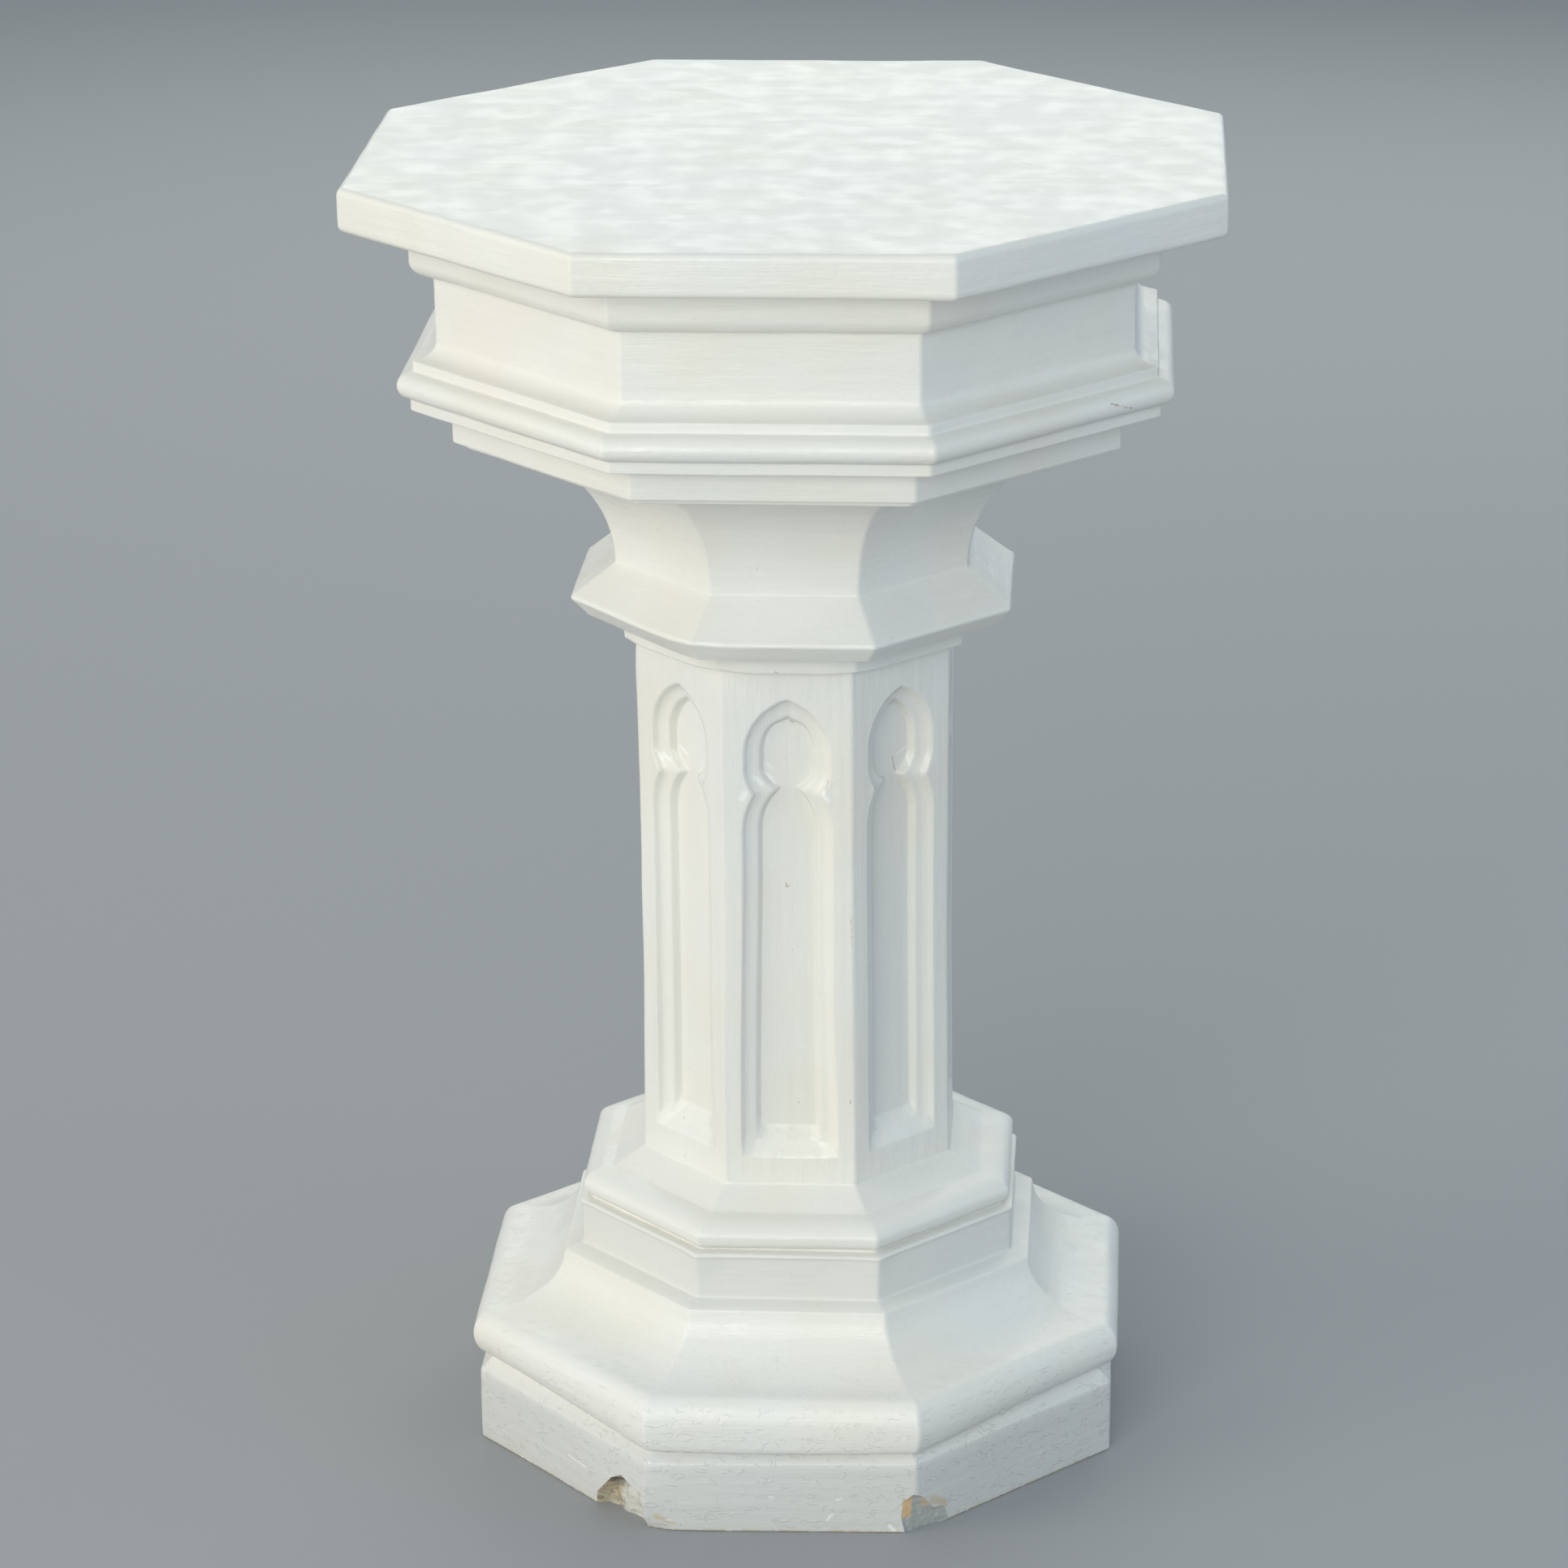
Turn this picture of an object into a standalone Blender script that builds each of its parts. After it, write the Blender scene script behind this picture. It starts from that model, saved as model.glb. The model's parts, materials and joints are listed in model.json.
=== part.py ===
"""An octagonal Gothic pedestal column, cast in one piece: moulded plinth, panelled shaft and moulded cap.

The moulded profile is laid out from the floor up and swept round a regular octagon. Each of the shaft's eight
faces then takes one sunk panel, a lancet under a pointed lobe, and two breaks are cut from the plinth's foot.
All sizes are in metres. Flats face +X, -X, +Y and -Y, and the front face is the one towards -Y.
"""

import math

import bmesh
import bpy
from mathutils import Matrix, Vector

FACES = 8
HALF_TURN_OF_FACE = math.pi / FACES

# The plinth and its groove
PLINTH_APOTHEM = 0.1905
PLINTH_HEIGHT = 0.0450
GROOVE_APOTHEM = 0.1830
PLINTH_WEATHERING_RISE = 0.0080
GROOVE_HEIGHT = 0.0025

# The base: a bold torus, a long hollow, a ledge and an upright band
BASE_TORUS_NOSE = 0.1940
BASE_TORUS_HEIGHT = 0.0280
BASE_HOLLOW_TOP_APOTHEM = 0.1400
BASE_HOLLOW_RISE = 0.0330
BAND_APOTHEM = 0.1290
BAND_LEDGE_RISE = 0.0030
BAND_HEIGHT = 0.0255
BAND_BEAD_PROJECTION = 0.0010
BAND_BEAD_STEP = 0.0010
BAND_QUIRK_DEPTH = 0.0065
BAND_QUIRK_HEIGHT = 0.0015

# The torus and the sloping weathering that the shaft stands on
FOOT_TORUS_NOSE = 0.1280
FOOT_TORUS_LOWER_RISE = 0.0075
FOOT_TORUS_UPPER_RISE = 0.0090
WEATHERING_FOOT_APOTHEM = 0.1095
WEATHERING_RISE = 0.0105

# The shaft
SHAFT_APOTHEM = 0.0915
SHAFT_HEIGHT = 0.3205
SHAFT_WAIST = 0.0010

# The ring under the bell
RING_FILLET_APOTHEM = 0.0992
RING_FILLET_HEIGHT = 0.0140
RING_NOSE = 0.1272
RING_UNDERCUT = 0.0100
RING_UNDERCUT_RISE = 0.0110
RING_SHOULDER_DEPTH = 0.0022
RING_SHOULDER_RISE = 0.0035
RING_WEATHERING_RISE = 0.0195

# The bell, one deep hollow
BELL_FOOT_APOTHEM = 0.1020
BELL_SPREAD = 0.0800
BELL_RISE = 0.0775
BELL_QUIRK_HEIGHT = 0.0040

# The two fillets and the torus of the cap
LOWER_FILLET_APOTHEM = 0.1892
LOWER_FILLET_HEIGHT = 0.0145
FILLET_HOLLOW_PROJECTION = 0.0180
FILLET_HOLLOW_RISE = 0.0068
UPPER_FILLET_APOTHEM = 0.2112
UPPER_FILLET_HEIGHT = 0.0075
CAP_TORUS_NOSE = 0.2185
CAP_TORUS_HEIGHT = 0.0152

# The step, the hollow and the plain frieze above the torus
STEP_APOTHEM = 0.2095
STEP_HEIGHT = 0.0063
FRIEZE_APOTHEM = 0.1965
FRIEZE_HOLLOW_RISE = 0.0102
FRIEZE_HEIGHT = 0.0373

# The ovolo, the fillet and the slab
OVOLO_RISE = 0.0100
BED_FILLET_APOTHEM = 0.2097
BED_FILLET_HEIGHT = 0.0197
SLAB_APOTHEM = 0.2470
SLAB_THICKNESS = 0.0260
SLAB_ARRIS_RADIUS = 0.0040

# The sunk panel, the same on every face of the shaft
PANEL_DEPTH = 0.0110
PANEL_SILL_ABOVE_FOOT = 0.0190
PANEL_SILL_RISE = 0.0150
LANCET_HALF_WIDTH = 0.0152
LANCET_ARCH_RADIUS = 0.0307
LANCET_SPRING_BELOW_TOP = 0.0984
LOBE_CENTRE_BELOW_TOP = 0.0520
LOBE_ARC_RADIUS = 0.0254
LOBE_ARC_CENTRE_OFFSET = 0.0110
LOBE_FOOT_BELOW_TOP = 0.0600
LOBE_FOOT_RADIUS = 0.0146
PANEL_SPLAY = 0.0107
PANEL_QUIRK_SPLAY = 0.0022
PANEL_HOLLOW_DEPTH = 0.0060
LANCET_ARC_STEPS = 8
LOBE_ARC_STEPS = 9
LOBE_FOOT_STEPS = 9
LANCET_WALL_STEPS = 3
LOBE_WALL_STEPS = 4

# The break in the foot of the left front face, beside the corner that it shares with the front
BREAK_FROM_CORNER = 0.0020
BREAK_WIDTH = 0.0440
BREAK_HEIGHT = 0.0260
BREAK_UPRIGHT = 0.0020
BREAK_DEPTH = 0.0090
BREAK_SLOPE = 0.0060
BREAK_STEPS = 10

# The flat chip on the front's right corner
CHIP_HEIGHT = 0.0260
CHIP_FRONT_RUN = 0.0090
CHIP_SIDE_RUN = 0.0260

# How far a cutter stands out of the surface that it cuts, and how much wider the chip's is than the chip
OVERSHOOT = 0.0040
CHIP_GROWTH = 4.0

SMOOTH_BELOW = math.radians(25)

PAINT_COLOUR = (0.78, 0.77, 0.73, 1.0)
PAINT_ROUGHNESS = 0.38


def clear_scene():
    for thing in list(bpy.data.objects):
        bpy.data.objects.remove(thing, do_unlink=True)


def painted_body():
    """Thick off-white gloss paint over the cast body."""
    material = bpy.data.materials.new("painted_body")
    material.use_nodes = True
    shader = material.node_tree.nodes["Principled BSDF"]
    shader.inputs["Base Color"].default_value = PAINT_COLOUR
    shader.inputs["Roughness"].default_value = PAINT_ROUGHNESS
    shader.inputs["Metallic"].default_value = 0.0
    material.diffuse_color = PAINT_COLOUR
    return material


class Profile:
    """The moulded outline as (apothem, height) points, drawn from the floor up."""

    def __init__(self, apothem):
        self.points = [(apothem, 0.0)]

    @property
    def apothem(self):
        return self.points[-1][0]

    @property
    def height(self):
        return self.points[-1][1]

    def straight(self, apothem, rise):
        """One straight stretch, to this apothem and this much higher."""
        self.points.append((apothem, self.height + rise))

    def upright(self, rise):
        self.straight(self.apothem, rise)

    def level(self, apothem):
        self.straight(apothem, 0.0)

    def curve(self, apothem, rise, steps, leaves_upright):
        """A quarter ellipse. It starts upright and ends level, or the other way round."""
        start, foot = self.apothem, self.height
        for step in range(1, steps + 1):
            turn = math.pi / 2 * step / steps
            if leaves_upright:
                across, up = 1 - math.cos(turn), math.sin(turn)
            else:
                across, up = math.sin(turn), 1 - math.cos(turn)
            self.points.append((start + (apothem - start) * across, foot + rise * up))

    def waisted(self, rise, waist, steps):
        """An upright stretch drawn in by waist at its middle."""
        start, foot = self.apothem, self.height
        for step in range(1, steps + 1):
            share = step / steps
            drawn_in = waist * 4 * share * (1 - share)
            self.points.append((start - drawn_in, foot + rise * share))


def draw_base(profile):
    """The plinth and everything up to the foot of the shaft."""
    profile.upright(PLINTH_HEIGHT)
    profile.straight(GROOVE_APOTHEM, PLINTH_WEATHERING_RISE)
    profile.upright(GROOVE_HEIGHT)
    profile.curve(BASE_TORUS_NOSE, BASE_TORUS_HEIGHT / 2, 4, leaves_upright=False)
    profile.curve(GROOVE_APOTHEM, BASE_TORUS_HEIGHT / 2, 4, leaves_upright=True)
    profile.curve(BASE_HOLLOW_TOP_APOTHEM, BASE_HOLLOW_RISE, 7, leaves_upright=False)
    profile.straight(BAND_APOTHEM, BAND_LEDGE_RISE)
    profile.upright(BAND_HEIGHT)
    profile.straight(BAND_APOTHEM + BAND_BEAD_PROJECTION, BAND_BEAD_STEP)
    profile.upright(BAND_BEAD_STEP)
    profile.straight(BAND_APOTHEM, BAND_BEAD_STEP)
    profile.level(BAND_APOTHEM - BAND_QUIRK_DEPTH)
    profile.upright(BAND_QUIRK_HEIGHT)
    profile.curve(FOOT_TORUS_NOSE, FOOT_TORUS_LOWER_RISE, 4, leaves_upright=False)
    profile.curve(WEATHERING_FOOT_APOTHEM, FOOT_TORUS_UPPER_RISE, 4, leaves_upright=True)
    profile.straight(SHAFT_APOTHEM, WEATHERING_RISE)


def draw_ring_and_bell(profile):
    """The ring at the head of the shaft and the bell that spreads from it."""
    profile.level(RING_FILLET_APOTHEM)
    profile.upright(RING_FILLET_HEIGHT)
    profile.level(RING_NOSE - RING_UNDERCUT)
    profile.straight(RING_NOSE, RING_UNDERCUT_RISE)
    profile.curve(RING_NOSE - RING_SHOULDER_DEPTH, RING_SHOULDER_RISE, 3, leaves_upright=True)
    profile.straight(BELL_FOOT_APOTHEM, RING_WEATHERING_RISE)
    profile.curve(BELL_FOOT_APOTHEM + BELL_SPREAD, BELL_RISE, 12, leaves_upright=True)
    profile.upright(BELL_QUIRK_HEIGHT)


def draw_cap(profile):
    """The fillets, the torus, the frieze and the slab."""
    profile.level(LOWER_FILLET_APOTHEM)
    profile.upright(LOWER_FILLET_HEIGHT)
    hollow_end = LOWER_FILLET_APOTHEM + FILLET_HOLLOW_PROJECTION
    profile.curve(hollow_end, FILLET_HOLLOW_RISE, 3, leaves_upright=True)
    profile.level(UPPER_FILLET_APOTHEM)
    profile.upright(UPPER_FILLET_HEIGHT)
    profile.curve(CAP_TORUS_NOSE, CAP_TORUS_HEIGHT / 2, 4, leaves_upright=False)
    profile.curve(STEP_APOTHEM, CAP_TORUS_HEIGHT / 2, 4, leaves_upright=True)
    profile.upright(STEP_HEIGHT)
    profile.curve(FRIEZE_APOTHEM, FRIEZE_HOLLOW_RISE, 4, leaves_upright=False)
    profile.upright(FRIEZE_HEIGHT)
    profile.curve(BED_FILLET_APOTHEM, OVOLO_RISE, 4, leaves_upright=False)
    profile.upright(BED_FILLET_HEIGHT)
    profile.level(SLAB_APOTHEM - SLAB_ARRIS_RADIUS)
    profile.curve(SLAB_APOTHEM, SLAB_ARRIS_RADIUS, 3, leaves_upright=False)
    profile.upright(SLAB_THICKNESS - 2 * SLAB_ARRIS_RADIUS)
    profile.curve(SLAB_APOTHEM - SLAB_ARRIS_RADIUS, SLAB_ARRIS_RADIUS, 3, leaves_upright=True)


def octagon_ring(mesh, apothem, height):
    """Eight corners of the octagon of this apothem, whose flats face the four axes."""
    corner_radius = apothem / math.cos(HALF_TURN_OF_FACE)
    turns = [HALF_TURN_OF_FACE * (2 * corner + 1) for corner in range(FACES)]
    return [
        mesh.verts.new((corner_radius * math.cos(turn), corner_radius * math.sin(turn), height))
        for turn in turns
    ]


def bridge(mesh, lower, upper):
    """A band of four-sided faces between two rings of the same number of points."""
    for corner in range(len(lower)):
        after = (corner + 1) % len(lower)
        mesh.faces.new((lower[corner], lower[after], upper[after], upper[corner]))


def close_stack(mesh, rings):
    """One closed body through these rings, with a flat face at each end."""
    mesh.faces.new(reversed(rings[0]))
    for lower, upper in zip(rings, rings[1:]):
        bridge(mesh, lower, upper)
    mesh.faces.new(rings[-1])


def add_object(name, mesh):
    """Puts the finished bmesh into the scene as one object, faces outward."""
    bmesh.ops.recalc_face_normals(mesh, faces=mesh.faces)
    data = bpy.data.meshes.new(name)
    mesh.to_mesh(data)
    mesh.free()
    made = bpy.data.objects.new(name, data)
    bpy.context.scene.collection.objects.link(made)
    return made


def face_frame(face, apothem):
    """Turns (along the face, height, into the body) into places on the face with this number.

    Face 0 is towards -Y, and the numbers run counter-clockwise seen from above.
    """
    turn = 2 * HALF_TURN_OF_FACE * face - math.pi / 2
    outward = Vector((math.cos(turn), math.sin(turn), 0.0))
    along = Vector((-math.sin(turn), math.cos(turn), 0.0))
    frame = Matrix((along, Vector((0.0, 0.0, 1.0)), -outward)).transposed().to_4x4()
    frame.translation = outward * apothem
    return frame


def wall_stages(steps):
    """(splay, depth) down the panel's wall: a hollow from the face, then a steep quirk to the floor."""
    stages = [(PANEL_SPLAY, -OVERSHOOT), (PANEL_SPLAY, 0.0)]
    for step in range(1, steps + 1):
        turn = math.pi / 2 * step / steps
        across = (PANEL_SPLAY - PANEL_QUIRK_SPLAY) * (1 - math.cos(turn))
        stages.append((PANEL_SPLAY - across, PANEL_HOLLOW_DEPTH * math.sin(turn)))
    stages.append((0.0, PANEL_DEPTH))
    return stages


def lancet_outline(splay, depth, foot, top):
    """The tall opening with its pointed head, at one depth, as (along, height) points."""
    sill = foot + PANEL_SILL_ABOVE_FOOT + PANEL_SILL_RISE * max(depth, 0.0) / PANEL_DEPTH
    spring = top - LANCET_SPRING_BELOW_TOP
    centre = LANCET_ARCH_RADIUS - LANCET_HALF_WIDTH
    radius = LANCET_ARCH_RADIUS + splay
    apex_turn = math.acos(centre / radius)
    right = [(LANCET_HALF_WIDTH + splay, sill)]
    for step in range(LANCET_ARC_STEPS + 1):
        turn = apex_turn * step / LANCET_ARC_STEPS
        right.append((radius * math.cos(turn) - centre, spring + radius * math.sin(turn)))
    left = [(-along, height) for along, height in reversed(right[:-1])]
    return right + left


def shoulder_point(foot_middle, foot_radius, middle, radius):
    """Where the lobe's round foot runs into its upper arc, to the right of the lobe's axis."""
    between = Vector((-LOBE_ARC_CENTRE_OFFSET, middle - foot_middle))
    apart = between.length
    towards = (apart**2 + foot_radius**2 - radius**2) / (2 * apart)
    aside = math.sqrt(foot_radius**2 - towards**2)
    between.normalize()
    return Vector((0.0, foot_middle)) + towards * between + aside * Vector((between.y, -between.x))


def lobe_outline(splay, depth, foot, top):
    """The lobe over the lancet, a round foot under two arcs that meet in a point."""
    foot_middle = top - LOBE_FOOT_BELOW_TOP
    foot_radius = LOBE_FOOT_RADIUS + splay
    middle = top - LOBE_CENTRE_BELOW_TOP
    radius = LOBE_ARC_RADIUS + splay
    shoulder = shoulder_point(foot_middle, foot_radius, middle, radius)
    lowest = -math.pi / 2
    foot_turn = math.atan2(shoulder.y - foot_middle, shoulder.x) - lowest
    right = []
    for step in range(LOBE_FOOT_STEPS):
        turn = lowest + foot_turn * step / LOBE_FOOT_STEPS
        right.append((foot_radius * math.cos(turn), foot_middle + foot_radius * math.sin(turn)))
    start = math.atan2(shoulder.y - middle, shoulder.x + LOBE_ARC_CENTRE_OFFSET)
    reach = math.acos(LOBE_ARC_CENTRE_OFFSET / radius) - start
    for step in range(LOBE_ARC_STEPS + 1):
        turn = start + reach * step / LOBE_ARC_STEPS
        along = radius * math.cos(turn) - LOBE_ARC_CENTRE_OFFSET
        right.append((along, middle + radius * math.sin(turn)))
    left = [(-along, height) for along, height in reversed(right[1:-1])]
    return right + left


def panel_cutters(name, outline, wall_steps, foot, top):
    """One cutter object with this outline sunk into each of the shaft's faces."""
    mesh = bmesh.new()
    for face in range(FACES):
        frame = face_frame(face, SHAFT_APOTHEM)
        rings = [
            [
                mesh.verts.new(frame @ Vector((along, height, depth)))
                for along, height in outline(splay, depth, foot, top)
            ]
            for splay, depth in wall_stages(wall_steps)
        ]
        close_stack(mesh, rings)
    return add_object(name, mesh)


def break_outline(splay, foot):
    """Half an ellipse on short upright sides, beside the corner, as (along, height) points."""
    middle = PLINTH_APOTHEM * math.tan(HALF_TURN_OF_FACE) - BREAK_FROM_CORNER - BREAK_WIDTH / 2
    outline = [(middle + BREAK_WIDTH / 2 + splay, foot)]
    for step in range(BREAK_STEPS + 1):
        turn = math.pi * step / BREAK_STEPS
        along = (BREAK_WIDTH / 2 + splay) * math.cos(turn)
        rise = (BREAK_HEIGHT - BREAK_UPRIGHT + splay) * math.sin(turn)
        outline.append((middle + along, BREAK_UPRIGHT + rise))
    outline.append((middle - BREAK_WIDTH / 2 - splay, foot))
    return outline


def foot_break_cutter():
    """The lump missing from the foot of the left front face, narrower towards its back."""
    mesh = bmesh.new()
    frame = face_frame(FACES - 1, PLINTH_APOTHEM)
    flare = BREAK_SLOPE * OVERSHOOT / BREAK_DEPTH
    rings = [
        [
            mesh.verts.new(frame @ Vector((along, height, depth)))
            for along, height in break_outline(splay, -OVERSHOOT)
        ]
        for splay, depth in ((flare, -OVERSHOOT), (-BREAK_SLOPE, BREAK_DEPTH))
    ]
    close_stack(mesh, rings)
    return add_object("foot_break_cutter", mesh)


def corner_chip_cutter():
    """A tetrahedron whose slanting side slices the corner between the front and the right front faces."""
    front = face_frame(0, PLINTH_APOTHEM)
    side = face_frame(1, PLINTH_APOTHEM)
    corner = PLINTH_APOTHEM * math.tan(HALF_TURN_OF_FACE)
    head = front @ Vector((corner, CHIP_HEIGHT, 0.0))
    left = front @ Vector((corner - CHIP_FRONT_RUN, 0.0, 0.0))
    right = side @ Vector((CHIP_SIDE_RUN - corner, 0.0, 0.0))
    middle = (head + left + right) / 3
    grown = [middle + CHIP_GROWTH * (point - middle) for point in (head, left, right)]
    outward = (right - left).cross(head - left).normalized()
    mesh = bmesh.new()
    slice_side = [mesh.verts.new(point) for point in grown]
    peak = mesh.verts.new(middle + outward * CHIP_HEIGHT)
    mesh.faces.new(slice_side)
    for corner_number in range(3):
        mesh.faces.new((slice_side[corner_number - 1], slice_side[corner_number], peak))
    return add_object("corner_chip_cutter", mesh)


def cut(body, cutter):
    cutter.hide_render = True
    cutter.display_type = "WIRE"
    modifier = body.modifiers.new(cutter.name, "BOOLEAN")
    modifier.operation = "DIFFERENCE"
    modifier.solver = "EXACT"
    modifier.object = cutter


def build():
    clear_scene()
    profile = Profile(PLINTH_APOTHEM)
    draw_base(profile)
    shaft_foot = profile.height
    profile.waisted(SHAFT_HEIGHT, SHAFT_WAIST, 6)
    shaft_top = profile.height
    draw_ring_and_bell(profile)
    draw_cap(profile)

    mesh = bmesh.new()
    close_stack(mesh, [octagon_ring(mesh, apothem, height) for apothem, height in profile.points])
    body = add_object("pedestal_column", mesh)
    body.data.materials.append(painted_body())
    body.data.shade_smooth()
    body.data.set_sharp_from_angle(angle=SMOOTH_BELOW)

    for name, outline, wall_steps in (
        ("lancet_cutters", lancet_outline, LANCET_WALL_STEPS),
        ("lobe_cutters", lobe_outline, LOBE_WALL_STEPS),
    ):
        cut(body, panel_cutters(name, outline, wall_steps, shaft_foot, shaft_top))
    cut(body, foot_break_cutter())
    cut(body, corner_chip_cutter())


build()
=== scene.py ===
import json
import math

import bmesh
import bpy
import numpy as np
from mathutils import Matrix, Vector, noise
from mathutils.geometry import delaunay_2d_cdt

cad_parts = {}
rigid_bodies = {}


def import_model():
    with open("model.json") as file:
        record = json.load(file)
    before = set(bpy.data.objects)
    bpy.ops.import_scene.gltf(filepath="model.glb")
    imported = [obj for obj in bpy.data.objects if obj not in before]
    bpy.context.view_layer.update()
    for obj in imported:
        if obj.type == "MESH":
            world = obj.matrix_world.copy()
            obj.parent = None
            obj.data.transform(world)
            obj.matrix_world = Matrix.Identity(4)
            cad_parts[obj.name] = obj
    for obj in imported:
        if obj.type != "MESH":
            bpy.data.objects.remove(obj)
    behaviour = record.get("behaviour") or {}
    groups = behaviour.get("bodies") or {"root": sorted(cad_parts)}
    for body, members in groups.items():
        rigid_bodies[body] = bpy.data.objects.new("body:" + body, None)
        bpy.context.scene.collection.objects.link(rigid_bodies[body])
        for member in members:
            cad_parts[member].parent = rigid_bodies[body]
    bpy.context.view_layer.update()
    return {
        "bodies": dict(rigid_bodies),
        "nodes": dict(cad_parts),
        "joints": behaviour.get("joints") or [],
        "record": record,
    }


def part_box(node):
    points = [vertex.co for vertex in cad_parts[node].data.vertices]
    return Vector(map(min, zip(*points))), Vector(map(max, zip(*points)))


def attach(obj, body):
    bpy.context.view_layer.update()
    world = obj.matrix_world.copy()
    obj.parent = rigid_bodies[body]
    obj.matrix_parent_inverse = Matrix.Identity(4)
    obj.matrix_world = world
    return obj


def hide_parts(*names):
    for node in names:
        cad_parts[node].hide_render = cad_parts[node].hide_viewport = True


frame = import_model()

# The casting is one hollow body of buff terracotta, pressed in moulds and painted many times over. Its
# outline is swept round a regular octagon with a flat towards -Y. Sizes are in metres, from the floor up.
FACES = 8
FACE_TAN = math.tan(math.pi / FACES)
WAVE_HEIGHT = 0.0007
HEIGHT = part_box("pedestal_column")[1].z - WAVE_HEIGHT

PLINTH_APOTHEM = 0.1902
PLINTH_HEIGHT = 0.0450
GROOVE_APOTHEM = 0.1830
PLINTH_WEATHERING_RISE = 0.0080
GROOVE_HEIGHT = 0.0025

BASE_TORUS_NOSE = 0.1940
BASE_TORUS_HEIGHT = 0.0280
BASE_HOLLOW_TOP_APOTHEM = 0.1400
BASE_HOLLOW_RISE = 0.0330
BAND_APOTHEM = 0.1290
BAND_LEDGE_RISE = 0.0030
BAND_HEIGHT = 0.0255
BAND_BEAD_PROJECTION = 0.0014
BAND_BEAD_HEIGHT = 0.0030
BAND_QUIRK_DEPTH = 0.0065
BAND_QUIRK_HEIGHT = 0.0015

FOOT_TORUS_NOSE = 0.1280
FOOT_TORUS_LOWER_RISE = 0.0075
FOOT_TORUS_UPPER_RISE = 0.0090
WEATHERING_FOOT_APOTHEM = 0.1095
WEATHERING_RISE = 0.0105

SHAFT_APOTHEM = 0.0915
SHAFT_HEIGHT = 0.3205
SHAFT_WAIST = 0.0010

RING_FILLET_APOTHEM = 0.0992
RING_FILLET_HEIGHT = 0.0140
RING_NOSE = 0.1272
RING_UNDERCUT = 0.0100
RING_UNDERCUT_RISE = 0.0110
RING_SHOULDER_DEPTH = 0.0022
RING_SHOULDER_RISE = 0.0035
RING_WEATHERING_RISE = 0.0195

BELL_FOOT_APOTHEM = 0.1020
BELL_SPREAD = 0.0800
BELL_RISE = 0.0775
BELL_QUIRK_HEIGHT = 0.0040

LOWER_FILLET_APOTHEM = 0.1892
LOWER_FILLET_HEIGHT = 0.0145
FILLET_HOLLOW_PROJECTION = 0.0180
FILLET_HOLLOW_RISE = 0.0068
UPPER_FILLET_APOTHEM = 0.2112
UPPER_FILLET_HEIGHT = 0.0075
CAP_TORUS_NOSE = 0.2185
CAP_TORUS_HEIGHT = 0.0152

STEP_APOTHEM = 0.2095
STEP_HEIGHT = 0.0063
FRIEZE_APOTHEM = 0.1965
FRIEZE_HOLLOW_RISE = 0.0102
FRIEZE_HEIGHT = 0.0373
OVOLO_RISE = 0.0100
BED_FILLET_APOTHEM = 0.2097
BED_FILLET_HEIGHT = 0.0197
SLAB_APOTHEM = 0.2465
SLAB_ARRIS_RADIUS = 0.0040

# The paint has rounded every arris and filled every crease. The rows of the mesh lie closest where it bends.
PAINT_BUILD = 0.0010
FINE_STEP = 0.0002
CORNER_ROUNDING = 0.0036
CORNER_COLUMNS = 2
COLUMNS = 30
LONGEST_ROW = 0.0085
ROW_TURN = math.radians(19)


class Profile:
    """The casting's outline as (apothem, height) points, drawn from the middle of its underside."""

    def __init__(self):
        self.points = [(0.0, 0.0)]

    @property
    def apothem(self):
        return self.points[-1][0]

    @property
    def height(self):
        return self.points[-1][1]

    def straight(self, apothem, rise):
        self.points.append((apothem, self.height + rise))

    def upright(self, rise):
        self.straight(self.apothem, rise)

    def level(self, apothem):
        self.straight(apothem, 0.0)

    def curve(self, apothem, rise, leaves_upright, steps=24):
        """A quarter ellipse. It starts upright and ends level, or the other way round."""
        start, foot = self.points[-1]
        for turn in np.linspace(0.0, math.pi / 2, steps + 1)[1:]:
            across, up = math.sin(turn), 1 - math.cos(turn)
            if leaves_upright:
                across, up = 1 - math.cos(turn), math.sin(turn)
            self.points.append((start + (apothem - start) * across, foot + rise * up))

    def waisted(self, rise, waist, steps=24):
        """An upright stretch drawn in by waist at its middle."""
        start, foot = self.points[-1]
        for share in np.linspace(0.0, 1.0, steps + 1)[1:]:
            self.points.append((start - waist * 4 * share * (1 - share), foot + rise * share))


def draw_foot(profile):
    """The plinth, the bold torus and its long hollow, the upright band, and the torus under the shaft."""
    profile.level(PLINTH_APOTHEM)
    profile.upright(PLINTH_HEIGHT)
    profile.straight(GROOVE_APOTHEM, PLINTH_WEATHERING_RISE)
    profile.upright(GROOVE_HEIGHT)
    profile.curve(BASE_TORUS_NOSE, BASE_TORUS_HEIGHT / 2, leaves_upright=False)
    profile.curve(GROOVE_APOTHEM, BASE_TORUS_HEIGHT / 2, leaves_upright=True)
    profile.curve(BASE_HOLLOW_TOP_APOTHEM, BASE_HOLLOW_RISE, leaves_upright=False)
    profile.straight(BAND_APOTHEM, BAND_LEDGE_RISE)
    profile.upright(BAND_HEIGHT)
    profile.straight(BAND_APOTHEM + BAND_BEAD_PROJECTION, BAND_BEAD_HEIGHT / 3)
    profile.upright(BAND_BEAD_HEIGHT / 3)
    profile.straight(BAND_APOTHEM, BAND_BEAD_HEIGHT / 3)
    profile.level(BAND_APOTHEM - BAND_QUIRK_DEPTH)
    profile.upright(BAND_QUIRK_HEIGHT)
    profile.curve(FOOT_TORUS_NOSE, FOOT_TORUS_LOWER_RISE, leaves_upright=False)
    profile.curve(WEATHERING_FOOT_APOTHEM, FOOT_TORUS_UPPER_RISE, leaves_upright=True)
    profile.straight(SHAFT_APOTHEM, WEATHERING_RISE)


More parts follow.
